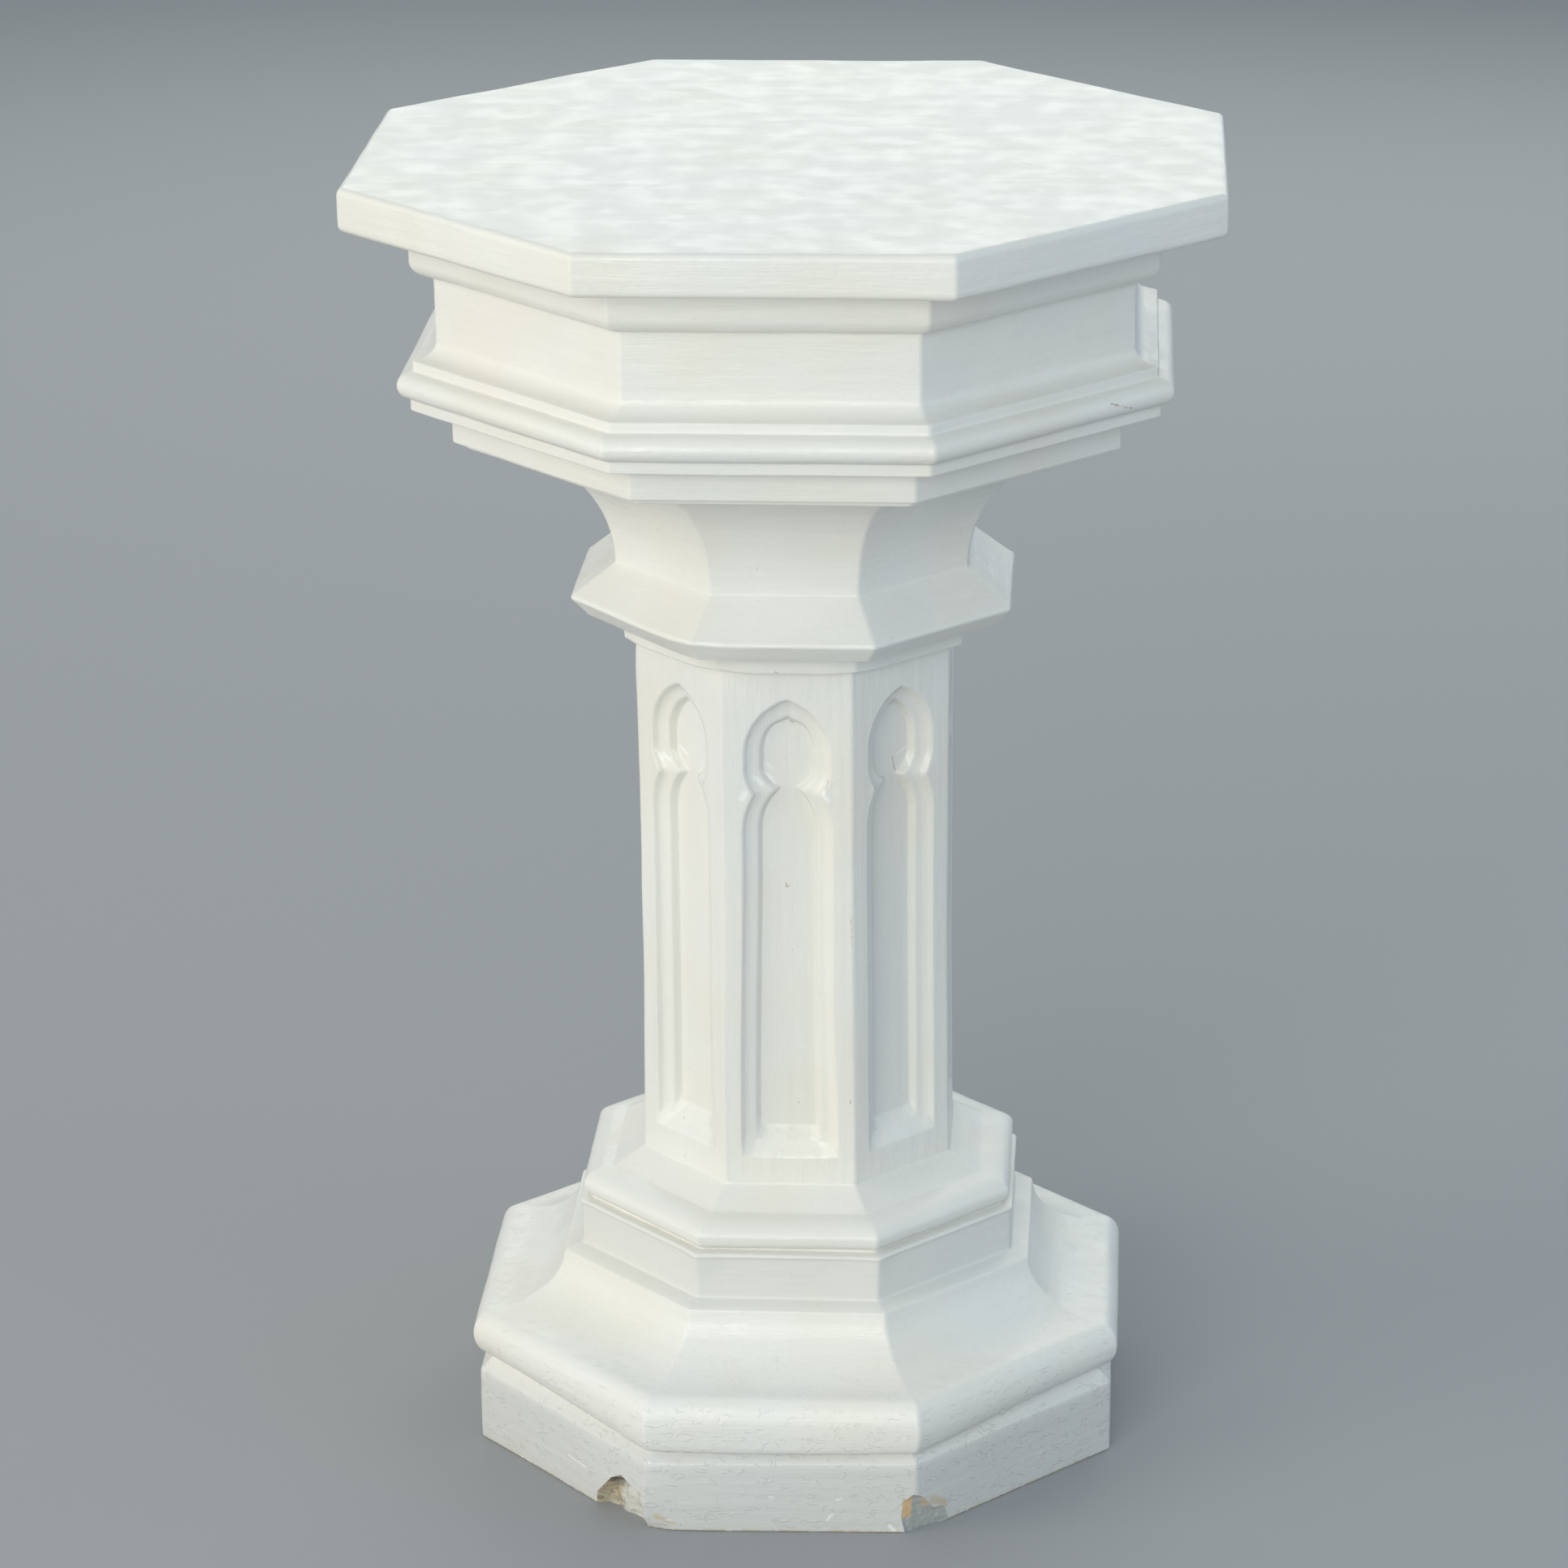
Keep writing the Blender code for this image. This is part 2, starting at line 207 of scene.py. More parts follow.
def draw_head(profile):
    """The ring, the bell, the cap's fillets, torus and frieze, and the slab to the middle of its top."""
    profile.level(RING_FILLET_APOTHEM)
    profile.upright(RING_FILLET_HEIGHT)
    profile.level(RING_NOSE - RING_UNDERCUT)
    profile.straight(RING_NOSE, RING_UNDERCUT_RISE)
    profile.curve(RING_NOSE - RING_SHOULDER_DEPTH, RING_SHOULDER_RISE, leaves_upright=True)
    profile.straight(BELL_FOOT_APOTHEM, RING_WEATHERING_RISE)
    profile.curve(BELL_FOOT_APOTHEM + BELL_SPREAD, BELL_RISE, leaves_upright=True)
    profile.upright(BELL_QUIRK_HEIGHT)
    profile.level(LOWER_FILLET_APOTHEM)
    profile.upright(LOWER_FILLET_HEIGHT)
    profile.curve(LOWER_FILLET_APOTHEM + FILLET_HOLLOW_PROJECTION, FILLET_HOLLOW_RISE, leaves_upright=True)
    profile.level(UPPER_FILLET_APOTHEM)
    profile.upright(UPPER_FILLET_HEIGHT)
    profile.curve(CAP_TORUS_NOSE, CAP_TORUS_HEIGHT / 2, leaves_upright=False)
    profile.curve(STEP_APOTHEM, CAP_TORUS_HEIGHT / 2, leaves_upright=True)
    profile.upright(STEP_HEIGHT)
    profile.curve(FRIEZE_APOTHEM, FRIEZE_HOLLOW_RISE, leaves_upright=False)
    profile.upright(FRIEZE_HEIGHT)
    profile.curve(BED_FILLET_APOTHEM, OVOLO_RISE, leaves_upright=False)
    profile.upright(BED_FILLET_HEIGHT)
    profile.level(SLAB_APOTHEM - SLAB_ARRIS_RADIUS)
    profile.curve(SLAB_APOTHEM, SLAB_ARRIS_RADIUS, leaves_upright=False)
    profile.upright(HEIGHT - profile.height - SLAB_ARRIS_RADIUS)
    profile.curve(SLAB_APOTHEM - SLAB_ARRIS_RADIUS, SLAB_ARRIS_RADIUS, leaves_upright=True)
    profile.level(0.0)


def softened(points, spread):
    """The same outline under thick paint, its arrises rounded and its creases filled by about this much."""
    points = np.array(points)
    run = np.concatenate([[0.0], np.cumsum(np.hypot(*np.diff(points, axis=0).T))])
    even = np.arange(0.0, run[-1], FINE_STEP)
    reach = round(4 * spread / FINE_STEP)
    weights = np.exp(-0.5 * (np.arange(-reach, reach + 1) * FINE_STEP / spread) ** 2)
    weights /= weights.sum()
    columns = []
    for values in points.T:
        fine = np.pad(np.interp(even, run, values), reach, mode="reflect", reflect_type="odd")
        columns.append(np.convolve(fine, weights, mode="valid"))
    return np.stack(columns, axis=1)


def rows_along(outline, longest, turn):
    """Points picked along an outline, close together where it bends."""
    step = np.diff(outline, axis=0)
    bend = np.abs(np.diff(np.unwrap(np.arctan2(step[:, 1], step[:, 0])), prepend=0.0))
    bend[0] = 0.0
    cost = np.concatenate([[0.0], np.cumsum(np.hypot(*step.T) / longest + bend / turn)])
    picks = np.interp(np.linspace(0.0, cost[-1], math.ceil(cost[-1]) + 1), cost, np.arange(len(cost)))
    return outline[np.round(picks).astype(int)]


HALF_SHAFT_FACE = SHAFT_APOTHEM * FACE_TAN
CORNER_REACH = CORNER_ROUNDING * FACE_TAN


def on_face(along, apothem, height, depth=0.0):
    """Places on the front face, for positions along a shaft face, with the corners rounded at any apothem."""
    half = apothem * FACE_TAN
    reach = np.minimum(CORNER_REACH, 0.3 * half)
    radius = reach / FACE_TAN + 1e-9
    rounded = np.abs(along) > HALF_SHAFT_FACE - CORNER_REACH
    from_corner = np.where(rounded, (HALF_SHAFT_FACE - np.abs(along)) / CORNER_REACH * reach, reach)
    setback = radius * (1 - np.sqrt(np.maximum(1 - ((reach - from_corner) / radius) ** 2, 0.0)))
    inner = along / (HALF_SHAFT_FACE - CORNER_REACH) * (half - reach)
    lateral = np.where(rounded, np.sign(along) * (half - from_corner), inner)
    lateral = lateral * (apothem - setback) / np.maximum(apothem, 1e-9)
    return np.stack([lateral, setback + depth - apothem, np.broadcast_to(height, np.shape(lateral))], axis=-1)


def face_columns():
    """Where the mesh's columns stand across a shaft face, the corner's rounding first and last."""
    corner = np.linspace(0.0, CORNER_REACH, CORNER_COLUMNS + 1)[:-1]
    inner = np.linspace(CORNER_REACH, HALF_SHAFT_FACE, COLUMNS // 2 - CORNER_COLUMNS + 1)
    half = np.concatenate([corner, inner])
    return np.concatenate([half - HALF_SHAFT_FACE, (HALF_SHAFT_FACE - half[:-1])[::-1]])


def strip(rows):
    """Vertices and four-sided faces of one octagon face's strip through these rows."""
    columns = face_columns()
    apothem, height = rows[:, :1], rows[:, 1:]
    points = on_face(columns[None, :], apothem, height).reshape(-1, 3)
    across = len(columns)
    starts = [row * across + column for row in range(len(rows) - 1) for column in range(across - 1)]
    return points, [(start, start + 1, start + across + 1, start + across) for start in starts]


# Each face of the shaft has a sunk panel: a lancet with a pointed lobe over it. The wall falls steeply, runs
# out in a hollow and drops again to the floor, and the bottom is a plain sloping sill.
PANEL_DEPTH = 0.0110
PANEL_SILL_ABOVE_FOOT = 0.0190
PANEL_SILL_RISE = 0.0150
LANCET_HALF_WIDTH = 0.0152
LANCET_ARCH_RADIUS = 0.0307
LANCET_SPRING_BELOW_TOP = 0.0984
LOBE_CENTRE_BELOW_TOP = 0.0520
LOBE_ARC_RADIUS = 0.0254
LOBE_ARC_CENTRE_OFFSET = 0.0110
LOBE_FOOT_BELOW_TOP = 0.0600
LOBE_FOOT_RADIUS = 0.0146
PANEL_SPLAY = 0.0107
WALL_INSETS = (0.0, 0.0015, 0.0045, 0.0085, PANEL_SPLAY)
WALL_DEPTHS = (0.0, 0.0032, 0.0052, 0.0060, PANEL_DEPTH)
WALL_SOFTENING = 0.0006
CUSP_SOFTENING = 0.0016
PANEL_MARGIN = 0.0080
PANEL_STEP = 0.0030
JAMB_STEP = 0.0085
LATTICE_CLEAR = 0.0030
OUTLINE_INSETS = (-0.0011, -0.0004, 0.0003, 0.0009, 0.0016, 0.0025, 0.0036, 0.0050, 0.0066, 0.0080)
OUTLINE_INSETS += (0.0087, 0.0093, 0.0099, 0.0105, 0.0112)


def wall_curve():
    """(inset, depth) down the panel's wall, softened by the paint."""
    ends = [(-0.01, 0.0), *zip(WALL_INSETS, WALL_DEPTHS), (PANEL_SPLAY + 0.01, PANEL_DEPTH)]
    return softened(ends, WALL_SOFTENING)


def sill_curve(foot):
    """(height, depth) up the sloping sill, softened in the same way."""
    outer = foot + PANEL_SILL_ABOVE_FOOT
    inner = outer + PANEL_SILL_RISE
    ends = [(outer - 0.01, 0.0), (outer, 0.0), (inner, PANEL_DEPTH), (outer + 0.05, PANEL_DEPTH)]
    return softened(ends, PAINT_BUILD)


def panel_insets(along, height, top):
    """How far a place on the face lies inside the panel's outer outline."""
    spring, middle = top - LANCET_SPRING_BELOW_TOP, top - LOBE_CENTRE_BELOW_TOP
    centre = LANCET_ARCH_RADIUS - LANCET_HALF_WIDTH
    jamb = LANCET_HALF_WIDTH + PANEL_SPLAY - np.abs(along)
    arch = LANCET_ARCH_RADIUS + PANEL_SPLAY - np.hypot(np.abs(along) + centre, height - spring)
    lancet = np.where(height < spring, jamb, arch)
    lobe = LOBE_ARC_RADIUS + PANEL_SPLAY - np.hypot(np.abs(along) + LOBE_ARC_CENTRE_OFFSET, height - middle)
    lobe_foot = LOBE_FOOT_RADIUS + PANEL_SPLAY - np.hypot(along, height - top + LOBE_FOOT_BELOW_TOP)
    lobe = np.maximum(lobe, lobe_foot)
    blend = np.maximum(CUSP_SOFTENING - np.abs(lancet - lobe), 0.0)
    return np.maximum(lancet, lobe) + blend**2 / (4 * CUSP_SOFTENING)


def panel_depths(along, height, foot, top):
    """How deep the panel is at places on the face, nought outside it."""
    wall, sill = wall_curve(), sill_curve(foot)
    by_wall = np.interp(panel_insets(along, height, top), wall[:, 0], wall[:, 1])
    by_sill = np.interp(height, sill[:, 0], sill[:, 1])
    blend = np.maximum(PAINT_BUILD - np.abs(by_wall - by_sill), 0.0)
    return np.maximum(np.minimum(by_wall, by_sill) - blend**2 / (4 * PAINT_BUILD), 0.0)


def arcs_meet(first, first_radius, second, second_radius, side):
    """Where two circles cross, on the right or left of the line from the first centre to the second."""
    between = np.subtract(second, first)
    apart = np.hypot(*between)
    towards = (apart**2 + first_radius**2 - second_radius**2) / (2 * apart)
    aside = side * math.sqrt(first_radius**2 - towards**2)
    unit = between / apart
    return first + towards * unit + aside * np.array([unit[1], -unit[0]])


def arc_points(centre, radius, start, end):
    """Points round an arc from start to end, without the first."""
    first, last = (math.atan2(*(point - centre)[::-1]) for point in (start, end))
    steps = max(round(radius * (last - first) / PANEL_STEP), 1)
    turns = np.linspace(first, last, steps + 1)[1:]
    return [centre + radius * np.array([math.cos(turn), math.sin(turn)]) for turn in turns]


def panel_outline(inset, foot, top):
    """The right half of the panel's outline drawn in by inset, from the sill's middle to the apex."""
    splay = PANEL_SPLAY - inset
    spring = top - LANCET_SPRING_BELOW_TOP
    depth = np.interp(inset, WALL_INSETS, WALL_DEPTHS)
    sill = foot + PANEL_SILL_ABOVE_FOOT + PANEL_SILL_RISE * depth / PANEL_DEPTH
    sill += min(inset, 0.0) + max(inset - PANEL_SPLAY, 0.0)
    arch = np.array([LANCET_HALF_WIDTH - LANCET_ARCH_RADIUS, spring]), LANCET_ARCH_RADIUS + splay
    lobe_foot = np.array([0.0, top - LOBE_FOOT_BELOW_TOP]), LOBE_FOOT_RADIUS + splay
    lobe = np.array([-LOBE_ARC_CENTRE_OFFSET, top - LOBE_CENTRE_BELOW_TOP]), LOBE_ARC_RADIUS + splay
    cusp = arcs_meet(*arch, *lobe_foot, side=1)
    shoulder = arcs_meet(*lobe_foot, *lobe, side=1)
    apex = np.array([0.0, lobe[0][1] + math.sqrt(lobe[1] ** 2 - LOBE_ARC_CENTRE_OFFSET**2)])
    jamb = LANCET_HALF_WIDTH + splay
    points = [(along, sill) for along in np.linspace(0.0, jamb, 4)[:-1]]
    points += [(jamb, height) for height in np.linspace(sill, spring, round((spring - sill) / JAMB_STEP) + 1)]
    points += arc_points(*arch, np.array(points[-1]), cusp)
    points += arc_points(*lobe_foot, cusp, shoulder)
    points += arc_points(*lobe, shoulder, apex)
    return np.array(points)


def panelled_face(rows, foot, top):
    """Vertices and triangles of one shaft face with its panel, from the first to the last of these rows."""
    low, high = rows[0, 1], rows[-1, 1]
    columns = face_columns()
    points, edges = [], []

    def add_line(line, closed=False):
        first = len(points)
        points.extend(map(tuple, line))
        count = len(line)
        steps = range(count if closed else count - 1)
        edges.extend((first + step, first + (step + 1) % count) for step in steps)

    for inset in OUTLINE_INSETS:
        right = panel_outline(inset, foot, top)
        add_line(np.concatenate([right, (right * (-1, 1))[-2:0:-1]]), closed=True)
    heights = np.linspace(low, high, round((high - low) / JAMB_STEP) + 1)
    for column in np.concatenate([columns[: CORNER_COLUMNS + 1], columns[-CORNER_COLUMNS - 1 :]]):
        add_line([(column, height) for height in heights])
    inner = columns[CORNER_COLUMNS + 1 : -CORNER_COLUMNS - 1]
    for height in (low, high):
        add_line([(column, height) for column in inner])
    lattice = np.stack(np.meshgrid(inner[::2], heights[1:-1]), axis=-1).reshape(-1, 2)
    inset = panel_insets(lattice[:, 0], lattice[:, 1], top)
    above_sill = lattice[:, 1] - foot - PANEL_SILL_ABOVE_FOOT
    nearest = OUTLINE_INSETS[0] - LATTICE_CLEAR
    outside = (inset < nearest) | (above_sill < nearest)
    inside = inset > OUTLINE_INSETS[-1] + LATTICE_CLEAR
    inside &= above_sill > PANEL_SILL_RISE + LATTICE_CLEAR
    points.extend(map(tuple, lattice[outside | inside]))
    flat, _, triangles, *_ = delaunay_2d_cdt([Vector(point) for point in points], edges, [], 0, 1e-6)
    along, height = np.array(flat).T
    apothem = np.interp(height, rows[:, 1], rows[:, 0])
    depths = panel_depths(along, height, foot, top)
    return on_face(along, apothem, height, depths), [tuple(triangle) for triangle in triangles]


def one_face_mesh():
    """The front eighth of the casting, from the middle of the underside to the middle of the top."""
    profile = Profile()
    draw_foot(profile)
    foot = profile.height
    profile.waisted(SHAFT_HEIGHT, SHAFT_WAIST)
    top = profile.height
    draw_head(profile)
    outline = softened(profile.points, PAINT_BUILD)
    low = np.searchsorted(outline[:, 1], foot + PANEL_MARGIN)
    high = np.searchsorted(outline[:, 1], top - PANEL_MARGIN)
    parts = [
        strip(rows_along(outline[: low + 1], LONGEST_ROW, ROW_TURN)),
        panelled_face(outline[low : high + 1], foot, top),
        strip(rows_along(outline[high:], LONGEST_ROW, ROW_TURN)),
    ]
    points, faces = [], []
    for part_points, part_faces in parts:
        first = sum(map(len, points))
        points.append(part_points)
        faces += [tuple(first + corner for corner in face) for face in part_faces]
    mesh = bpy.data.meshes.new("one_face")
    mesh.from_pydata(np.concatenate(points).tolist(), [], faces)
    return mesh


# The moulds were worked by hand and the paint lies thick, so no line runs quite true. The tree turns the
# strip round the column, welds the eight together, and gives the surface its long waves and short ripples.
WAVE_LENGTH = 0.0900
RIPPLE_LENGTH = 0.0220
RIPPLE_HEIGHT = 0.00022
WELD_DISTANCE = 0.00001
LEVEL_BELOW = 0.0060
WAVE_SEED = 3.0


def add_node(tree, kind, values=(), **settings):
    """A node with these settings, and a value or another node's socket for each named input."""
    node = tree.nodes.new(kind)
    for name, value in settings.items():
        setattr(node, name, value)
    for name, value in dict(values).items():
        socket = node.inputs[name]
        if isinstance(value, bpy.types.NodeSocket):
            tree.links.new(value, socket)
        else:
            socket.default_value = value
    return node


def compute(tree, operation, *values, clamp=False):
    """The output of a Math node on these values."""
    given = dict(enumerate(values))
    return add_node(tree, "ShaderNodeMath", given, operation=operation, use_clamp=clamp).outputs[0]


def times(tree, first, second):
    """The two multiplied."""
    return compute(tree, "MULTIPLY", first, second)


def over(tree, first, second):
    """The first divided by the second."""
    return compute(tree, "DIVIDE", first, second)


def plus(tree, first, second):
    """The two added."""
    return compute(tree, "ADD", first, second)


def minus(tree, first, second):
    """The second taken from the first."""
    return compute(tree, "SUBTRACT", first, second)


def most(tree, first, second):
    """The larger of the two."""
    return compute(tree, "MAXIMUM", first, second)


def vector(tree, operation, first, second):
    """What a Vector Math node makes of these two."""
    given = {0: first, "Scale" if operation == "SCALE" else 1: second}
    outputs = add_node(tree, "ShaderNodeVectorMath", given, operation=operation).outputs
    return outputs[1 if operation in ("DISTANCE", "DOT_PRODUCT") else 0]


def axes_of(tree, value):
    """The three axes of a vector, by name."""
    return add_node(tree, "ShaderNodeSeparateXYZ", {0: value}).outputs


def noise_value(tree, place, scale, detail=2.0, seed=0.0):
    """Noise from nought to one at a place, another for each seed."""
    if not isinstance(seed, bpy.types.NodeSocket):
        seed = (seed, seed, seed)
    given = {"Vector": vector(tree, "ADD", place, seed), "Scale": scale, "Detail": detail}
    return add_node(tree, "ShaderNodeTexNoise", given).outputs[0]


def octagon_tree():
    """Turns one face's strip round the column, welds the copies, and roughens them as by hand."""
    tree = bpy.data.node_groups.new("octagonal_casting", "GeometryNodeTree")
    floats = ("Weld Distance", "Wave Length", "Wave Height", "Ripple Length", "Ripple Height")
    floats += ("Level Below", "Seed")
    kinds = {"Strip": "Geometry", "Faces": "Int", **dict.fromkeys(floats, "Float"), "Paint": "Material"}
    for name, kind in kinds.items():
        tree.interface.new_socket(name, in_out="INPUT", socket_type="NodeSocket" + kind)
    tree.interface.new_socket("Casting", in_out="OUTPUT", socket_type="NodeSocketGeometry")
    given = tree.nodes.new("NodeGroupInput").outputs

    centres = add_node(tree, "GeometryNodePoints", {"Count": given["Faces"]}).outputs[0]
    index = tree.nodes.new("GeometryNodeInputIndex").outputs[0]
    turn = over(tree, times(tree, index, math.tau), given["Faces"])
    rotation = add_node(tree, "ShaderNodeCombineXYZ", {"Z": turn}).outputs[0]
    copies = {"Points": centres, "Instance": given["Strip"], "Rotation": rotation}
    copies = add_node(tree, "GeometryNodeInstanceOnPoints", copies).outputs[0]
    real = add_node(tree, "GeometryNodeRealizeInstances", {"Geometry": copies}).outputs[0]
    welded = {"Geometry": real, "Distance": given["Weld Distance"]}
    welded = add_node(tree, "GeometryNodeMergeByDistance", welded).outputs[0]

    place = tree.nodes.new("GeometryNodeInputPosition").outputs[0]
    lift = compute(tree, "DIVIDE", axes_of(tree, place)["Z"], given["Level Below"], clamp=True)
    offset = 0.0
    for length, amount in (("Wave Length", "Wave Height"), ("Ripple Length", "Ripple Height")):
        value = noise_value(tree, place, over(tree, 1.0, given[length]), 1.0, given["Seed"])
        swing = times(tree, minus(tree, value, 0.5), 2.0)
        offset = plus(tree, times(tree, swing, given[amount]), offset)
    normal = tree.nodes.new("GeometryNodeInputNormal").outputs[0]
    push = vector(tree, "SCALE", normal, times(tree, offset, lift))
    moved = add_node(tree, "GeometryNodeSetPosition", {"Geometry": welded, "Offset": push}).outputs[0]
    painted = add_node(tree, "GeometryNodeSetMaterial", {"Geometry": moved, "Material": given["Paint"]})
    out = tree.nodes.new("NodeGroupOutput")
    tree.links.new(painted.outputs[0], out.inputs[0])
    return tree


def linked(name, data):
    """An object with this data, in the scene."""
    thing = bpy.data.objects.new(name, data)
    bpy.context.scene.collection.objects.link(thing)
    return thing


def run_tree(piece, tree, values):
    """Applies a geometry tree with these inputs and leaves the piece a plain mesh."""
    modifier = piece.modifiers.new(tree.name, "NODES")
    modifier.node_group = tree
    for item in tree.interface.items_tree:
        if item.in_out == "INPUT" and item.name in values:
            modifier[item.identifier] = values[item.name]
    made_plain(piece)


def made_plain(piece):
    """Swaps the piece's mesh for what its modifiers make of it, and takes them off."""
    evaluated = piece.evaluated_get(bpy.context.evaluated_depsgraph_get())
    mesh = bpy.data.meshes.new_from_object(evaluated)
    piece.modifiers.clear()
    piece.data = mesh


# No edge came true from the mould or from under the brush: the front panel leans to the left at its foot,
# its sill dips, and paint has choked the mitres of the mouldings. Each row is a place, a reach and a move.
HAND_MOVES = (
    ((-0.0160, -0.0915, 0.2250), (0.0200, 0.0200, 0.0850), (-0.0034, 0.0, 0.0)),
    ((0.0270, -0.0915, 0.2050), (0.0060, 0.0200, 0.0350), (0.0022, 0.0, 0.0)),
    ((0.0, -0.0915, 0.1955), (0.0300, 0.0200, 0.0060), (0.0, 0.0, -0.0018)),
    ((-0.0463, -0.0831, 0.2000), (0.0070, 0.0070, 0.0300), (0.0021, -0.0021, 0.0)),
    ((-0.0411, -0.0992, 0.4985), (0.0100, 0.0100, 0.0070), (0.0010, 0.0024, 0.0012)),
    ((0.0411, -0.0992, 0.4985), (0.0070, 0.0070, 0.0060), (-0.0007, 0.0017, 0.0006)),
    ((-0.0992, -0.0411, 0.4985), (0.0080, 0.0080, 0.0060), (0.0018, 0.0008, 0.0008)),
    ((-0.1250, -0.0450, 0.5170), (0.0350, 0.0450, 0.0130), (0.0, 0.0, 0.0045)),
    ((-0.0527, -0.1272, 0.5180), (0.0090, 0.0090, 0.0060), (0.0008, 0.0020, 0.0005)),
    ((0.0, -0.1900, 0.0650), (0.1300, 0.0600, 0.0090), (0.0, 0.0, -0.0055)),
    ((0.0, -0.1850, 0.0555), (0.1300, 0.0500, 0.0040), (0.0, -0.0034, -0.0030)),
    ((-0.0850, -0.1880, 0.0150), (0.1000, 0.0500, 0.0280), (-0.0020, -0.0058, 0.0)),
    ((-0.0788, -0.1902, 0.0470), (0.0700, 0.0500, 0.0110), (0.0, 0.0, -0.0018)),
    ((-0.0788, -0.1902, 0.0010), (0.0070, 0.0070, 0.0040), (0.0022, 0.0036, 0.0)),
    ((0.0, -0.0820, 0.4670), (0.0070, 0.0060, 0.0055), (0.0, 0.0, -0.0034)),
    ((-0.0535, -0.1292, 0.1420), (0.0060, 0.0060, 0.0050), (-0.0006, -0.0014, 0.0)),
    ((0.0535, -0.1292, 0.1420), (0.0060, 0.0060, 0.0050), (0.0005, -0.0012, 0.0)),
    ((-0.2046, -0.1440, 0.7700), (0.0060, 0.0060, 0.0080), (0.0008, 0.0008, 0.0)),
    ((-0.1824, -0.1659, 0.7700), (0.0060, 0.0060, 0.0080), (0.0008, 0.0008, 0.0)),
)


def move_by_hand(mesh):
    """Shifts the painted surface where the hand has pulled it out of true."""
    places = np.empty(3 * len(mesh.vertices))
    mesh.vertices.foreach_get("co", places)
    places = places.reshape(-1, 3)
    moved = places.copy()
    for centre, reach, shift in HAND_MOVES:
        away = ((places - centre) / reach) ** 2
        moved += np.exp(-0.5 * away.sum(axis=1))[:, None] * np.array(shift)
    mesh.vertices.foreach_set("co", moved.ravel())
    mesh.update()


# Two pieces are broken from the foot. The left front face has lost a ragged lump beside the front corner,
# and the corner to the right is sheared away. Both bare the coarse buff clay, painted over in part since.
# Outlines are in metres along the face and up, and the third number of a corner point is its depth.
BREAK_OUTLINE = (
    (0.0452, -0.0200),
    (0.0452, 0.0000),
    (0.0440, 0.0085),
    (0.0365, 0.0168),
    (0.0305, 0.0232),
    (0.0215, 0.0284),
    (0.0137, 0.0256),
    (0.0026, 0.0235),
    (0.0016, 0.0074),
    (0.0016, -0.0200),
)
BREAK_FLOOR = ((0.0130, 0.0086), (0.0180, 0.0091), (0.0230, 0.0068), (0.0330, 0.0091), (0.0380, 0.0075))
BREAK_WALL_SLOPE = 1.9
BREAK_RECESS = (0.0265, 0.0225, 0.0075, 0.0044, 0.0060)
BREAK_LUMP_LENGTH = 0.0060
BREAK_LUMP_HEIGHT = 0.0016
BREAK_STRIPE_LENGTH = 0.0021
BREAK_STRIPE_HEIGHT = 0.00028
REPAINTED_WITHIN = 0.0275
REPAINT_EDGE = 0.0030
CLAY_STEP = 0.0008
CLAY_CLEAR = 0.0030

CHIP_POINTS = (
    (-0.0017, 0.0257, 0.0007),
    (-0.0082, 0.0202, 0.0034),
    (-0.0087, 0.0117, 0.0036),
    (-0.0056, -0.0040, 0.0023),
    (0.0055, 0.0220, 0.0023),
    (0.0084, 0.0183, 0.0035),
    (0.0126, 0.0124, 0.0052),
    (0.0204, 0.0110, 0.0085),
    (0.0256, -0.0040, 0.0106),
    (-0.0022, 0.0215, 0.0030),
    (-0.0020, -0.0040, 0.0058),
    (0.0108, 0.0106, 0.0062),
    (0.0072, -0.0040, 0.0088),
)
CHIP_EDGE = (0, 4, 5, 6, 7, 8, 12, 10, 3, 2, 1)
CHIP_FACETS = (
    (0, 1, 9),
    (1, 2, 9),
    (9, 2, 10),
    (2, 3, 10),
    (0, 9, 4),
    (4, 9, 5),
    (5, 9, 11),
    (5, 11, 6),
    (9, 12, 11),
    (9, 10, 12),
    (6, 11, 7),
    (7, 11, 8),
    (11, 12, 8),
)
CHIP_LUMP_HEIGHT = 0.0005
CHIP_WIDTH = 0.0320
CHIP_BARE_LEFT = -0.0030
CHIP_BARE_ABOVE = 0.0090
CHIP_SMEAR_FROM = 0.0030
CHIP_SMEAR_TO = 0.0130
CHIP_SMEAR_ABOVE = 0.0150


def inside_by(along, height, outline):
    """How far places lie inside a closed outline, below nought outside it."""
    nearest = np.full(along.shape, np.inf)
    inside = np.zeros(along.shape, bool)
    for (ax, ay), (bx, by) in zip(outline, outline[1:] + outline[:1]):
        run, rise = bx - ax, by - ay
        share = np.clip(((along - ax) * run + (height - ay) * rise) / (run**2 + rise**2), 0.0, 1.0)
        nearest = np.minimum(nearest, np.hypot(along - ax - share * run, height - ay - share * rise))
        if rise:
            inside ^= ((ay > height) != (by > height)) & (along < ax + (height - ay) * run / rise)
    return np.where(inside, nearest, -nearest)


def lumps(along, height, length):
    """Rough lumps of this length over a face, from -1 to 1."""
    places = zip(along.ravel() / length, height.ravel() / length)
    values = [noise.fractal(Vector((x, y, 0.0)), 0.9, 2.1, 4) for x, y in places]
    return np.clip(np.array(values).reshape(along.shape), -1.0, 1.0)


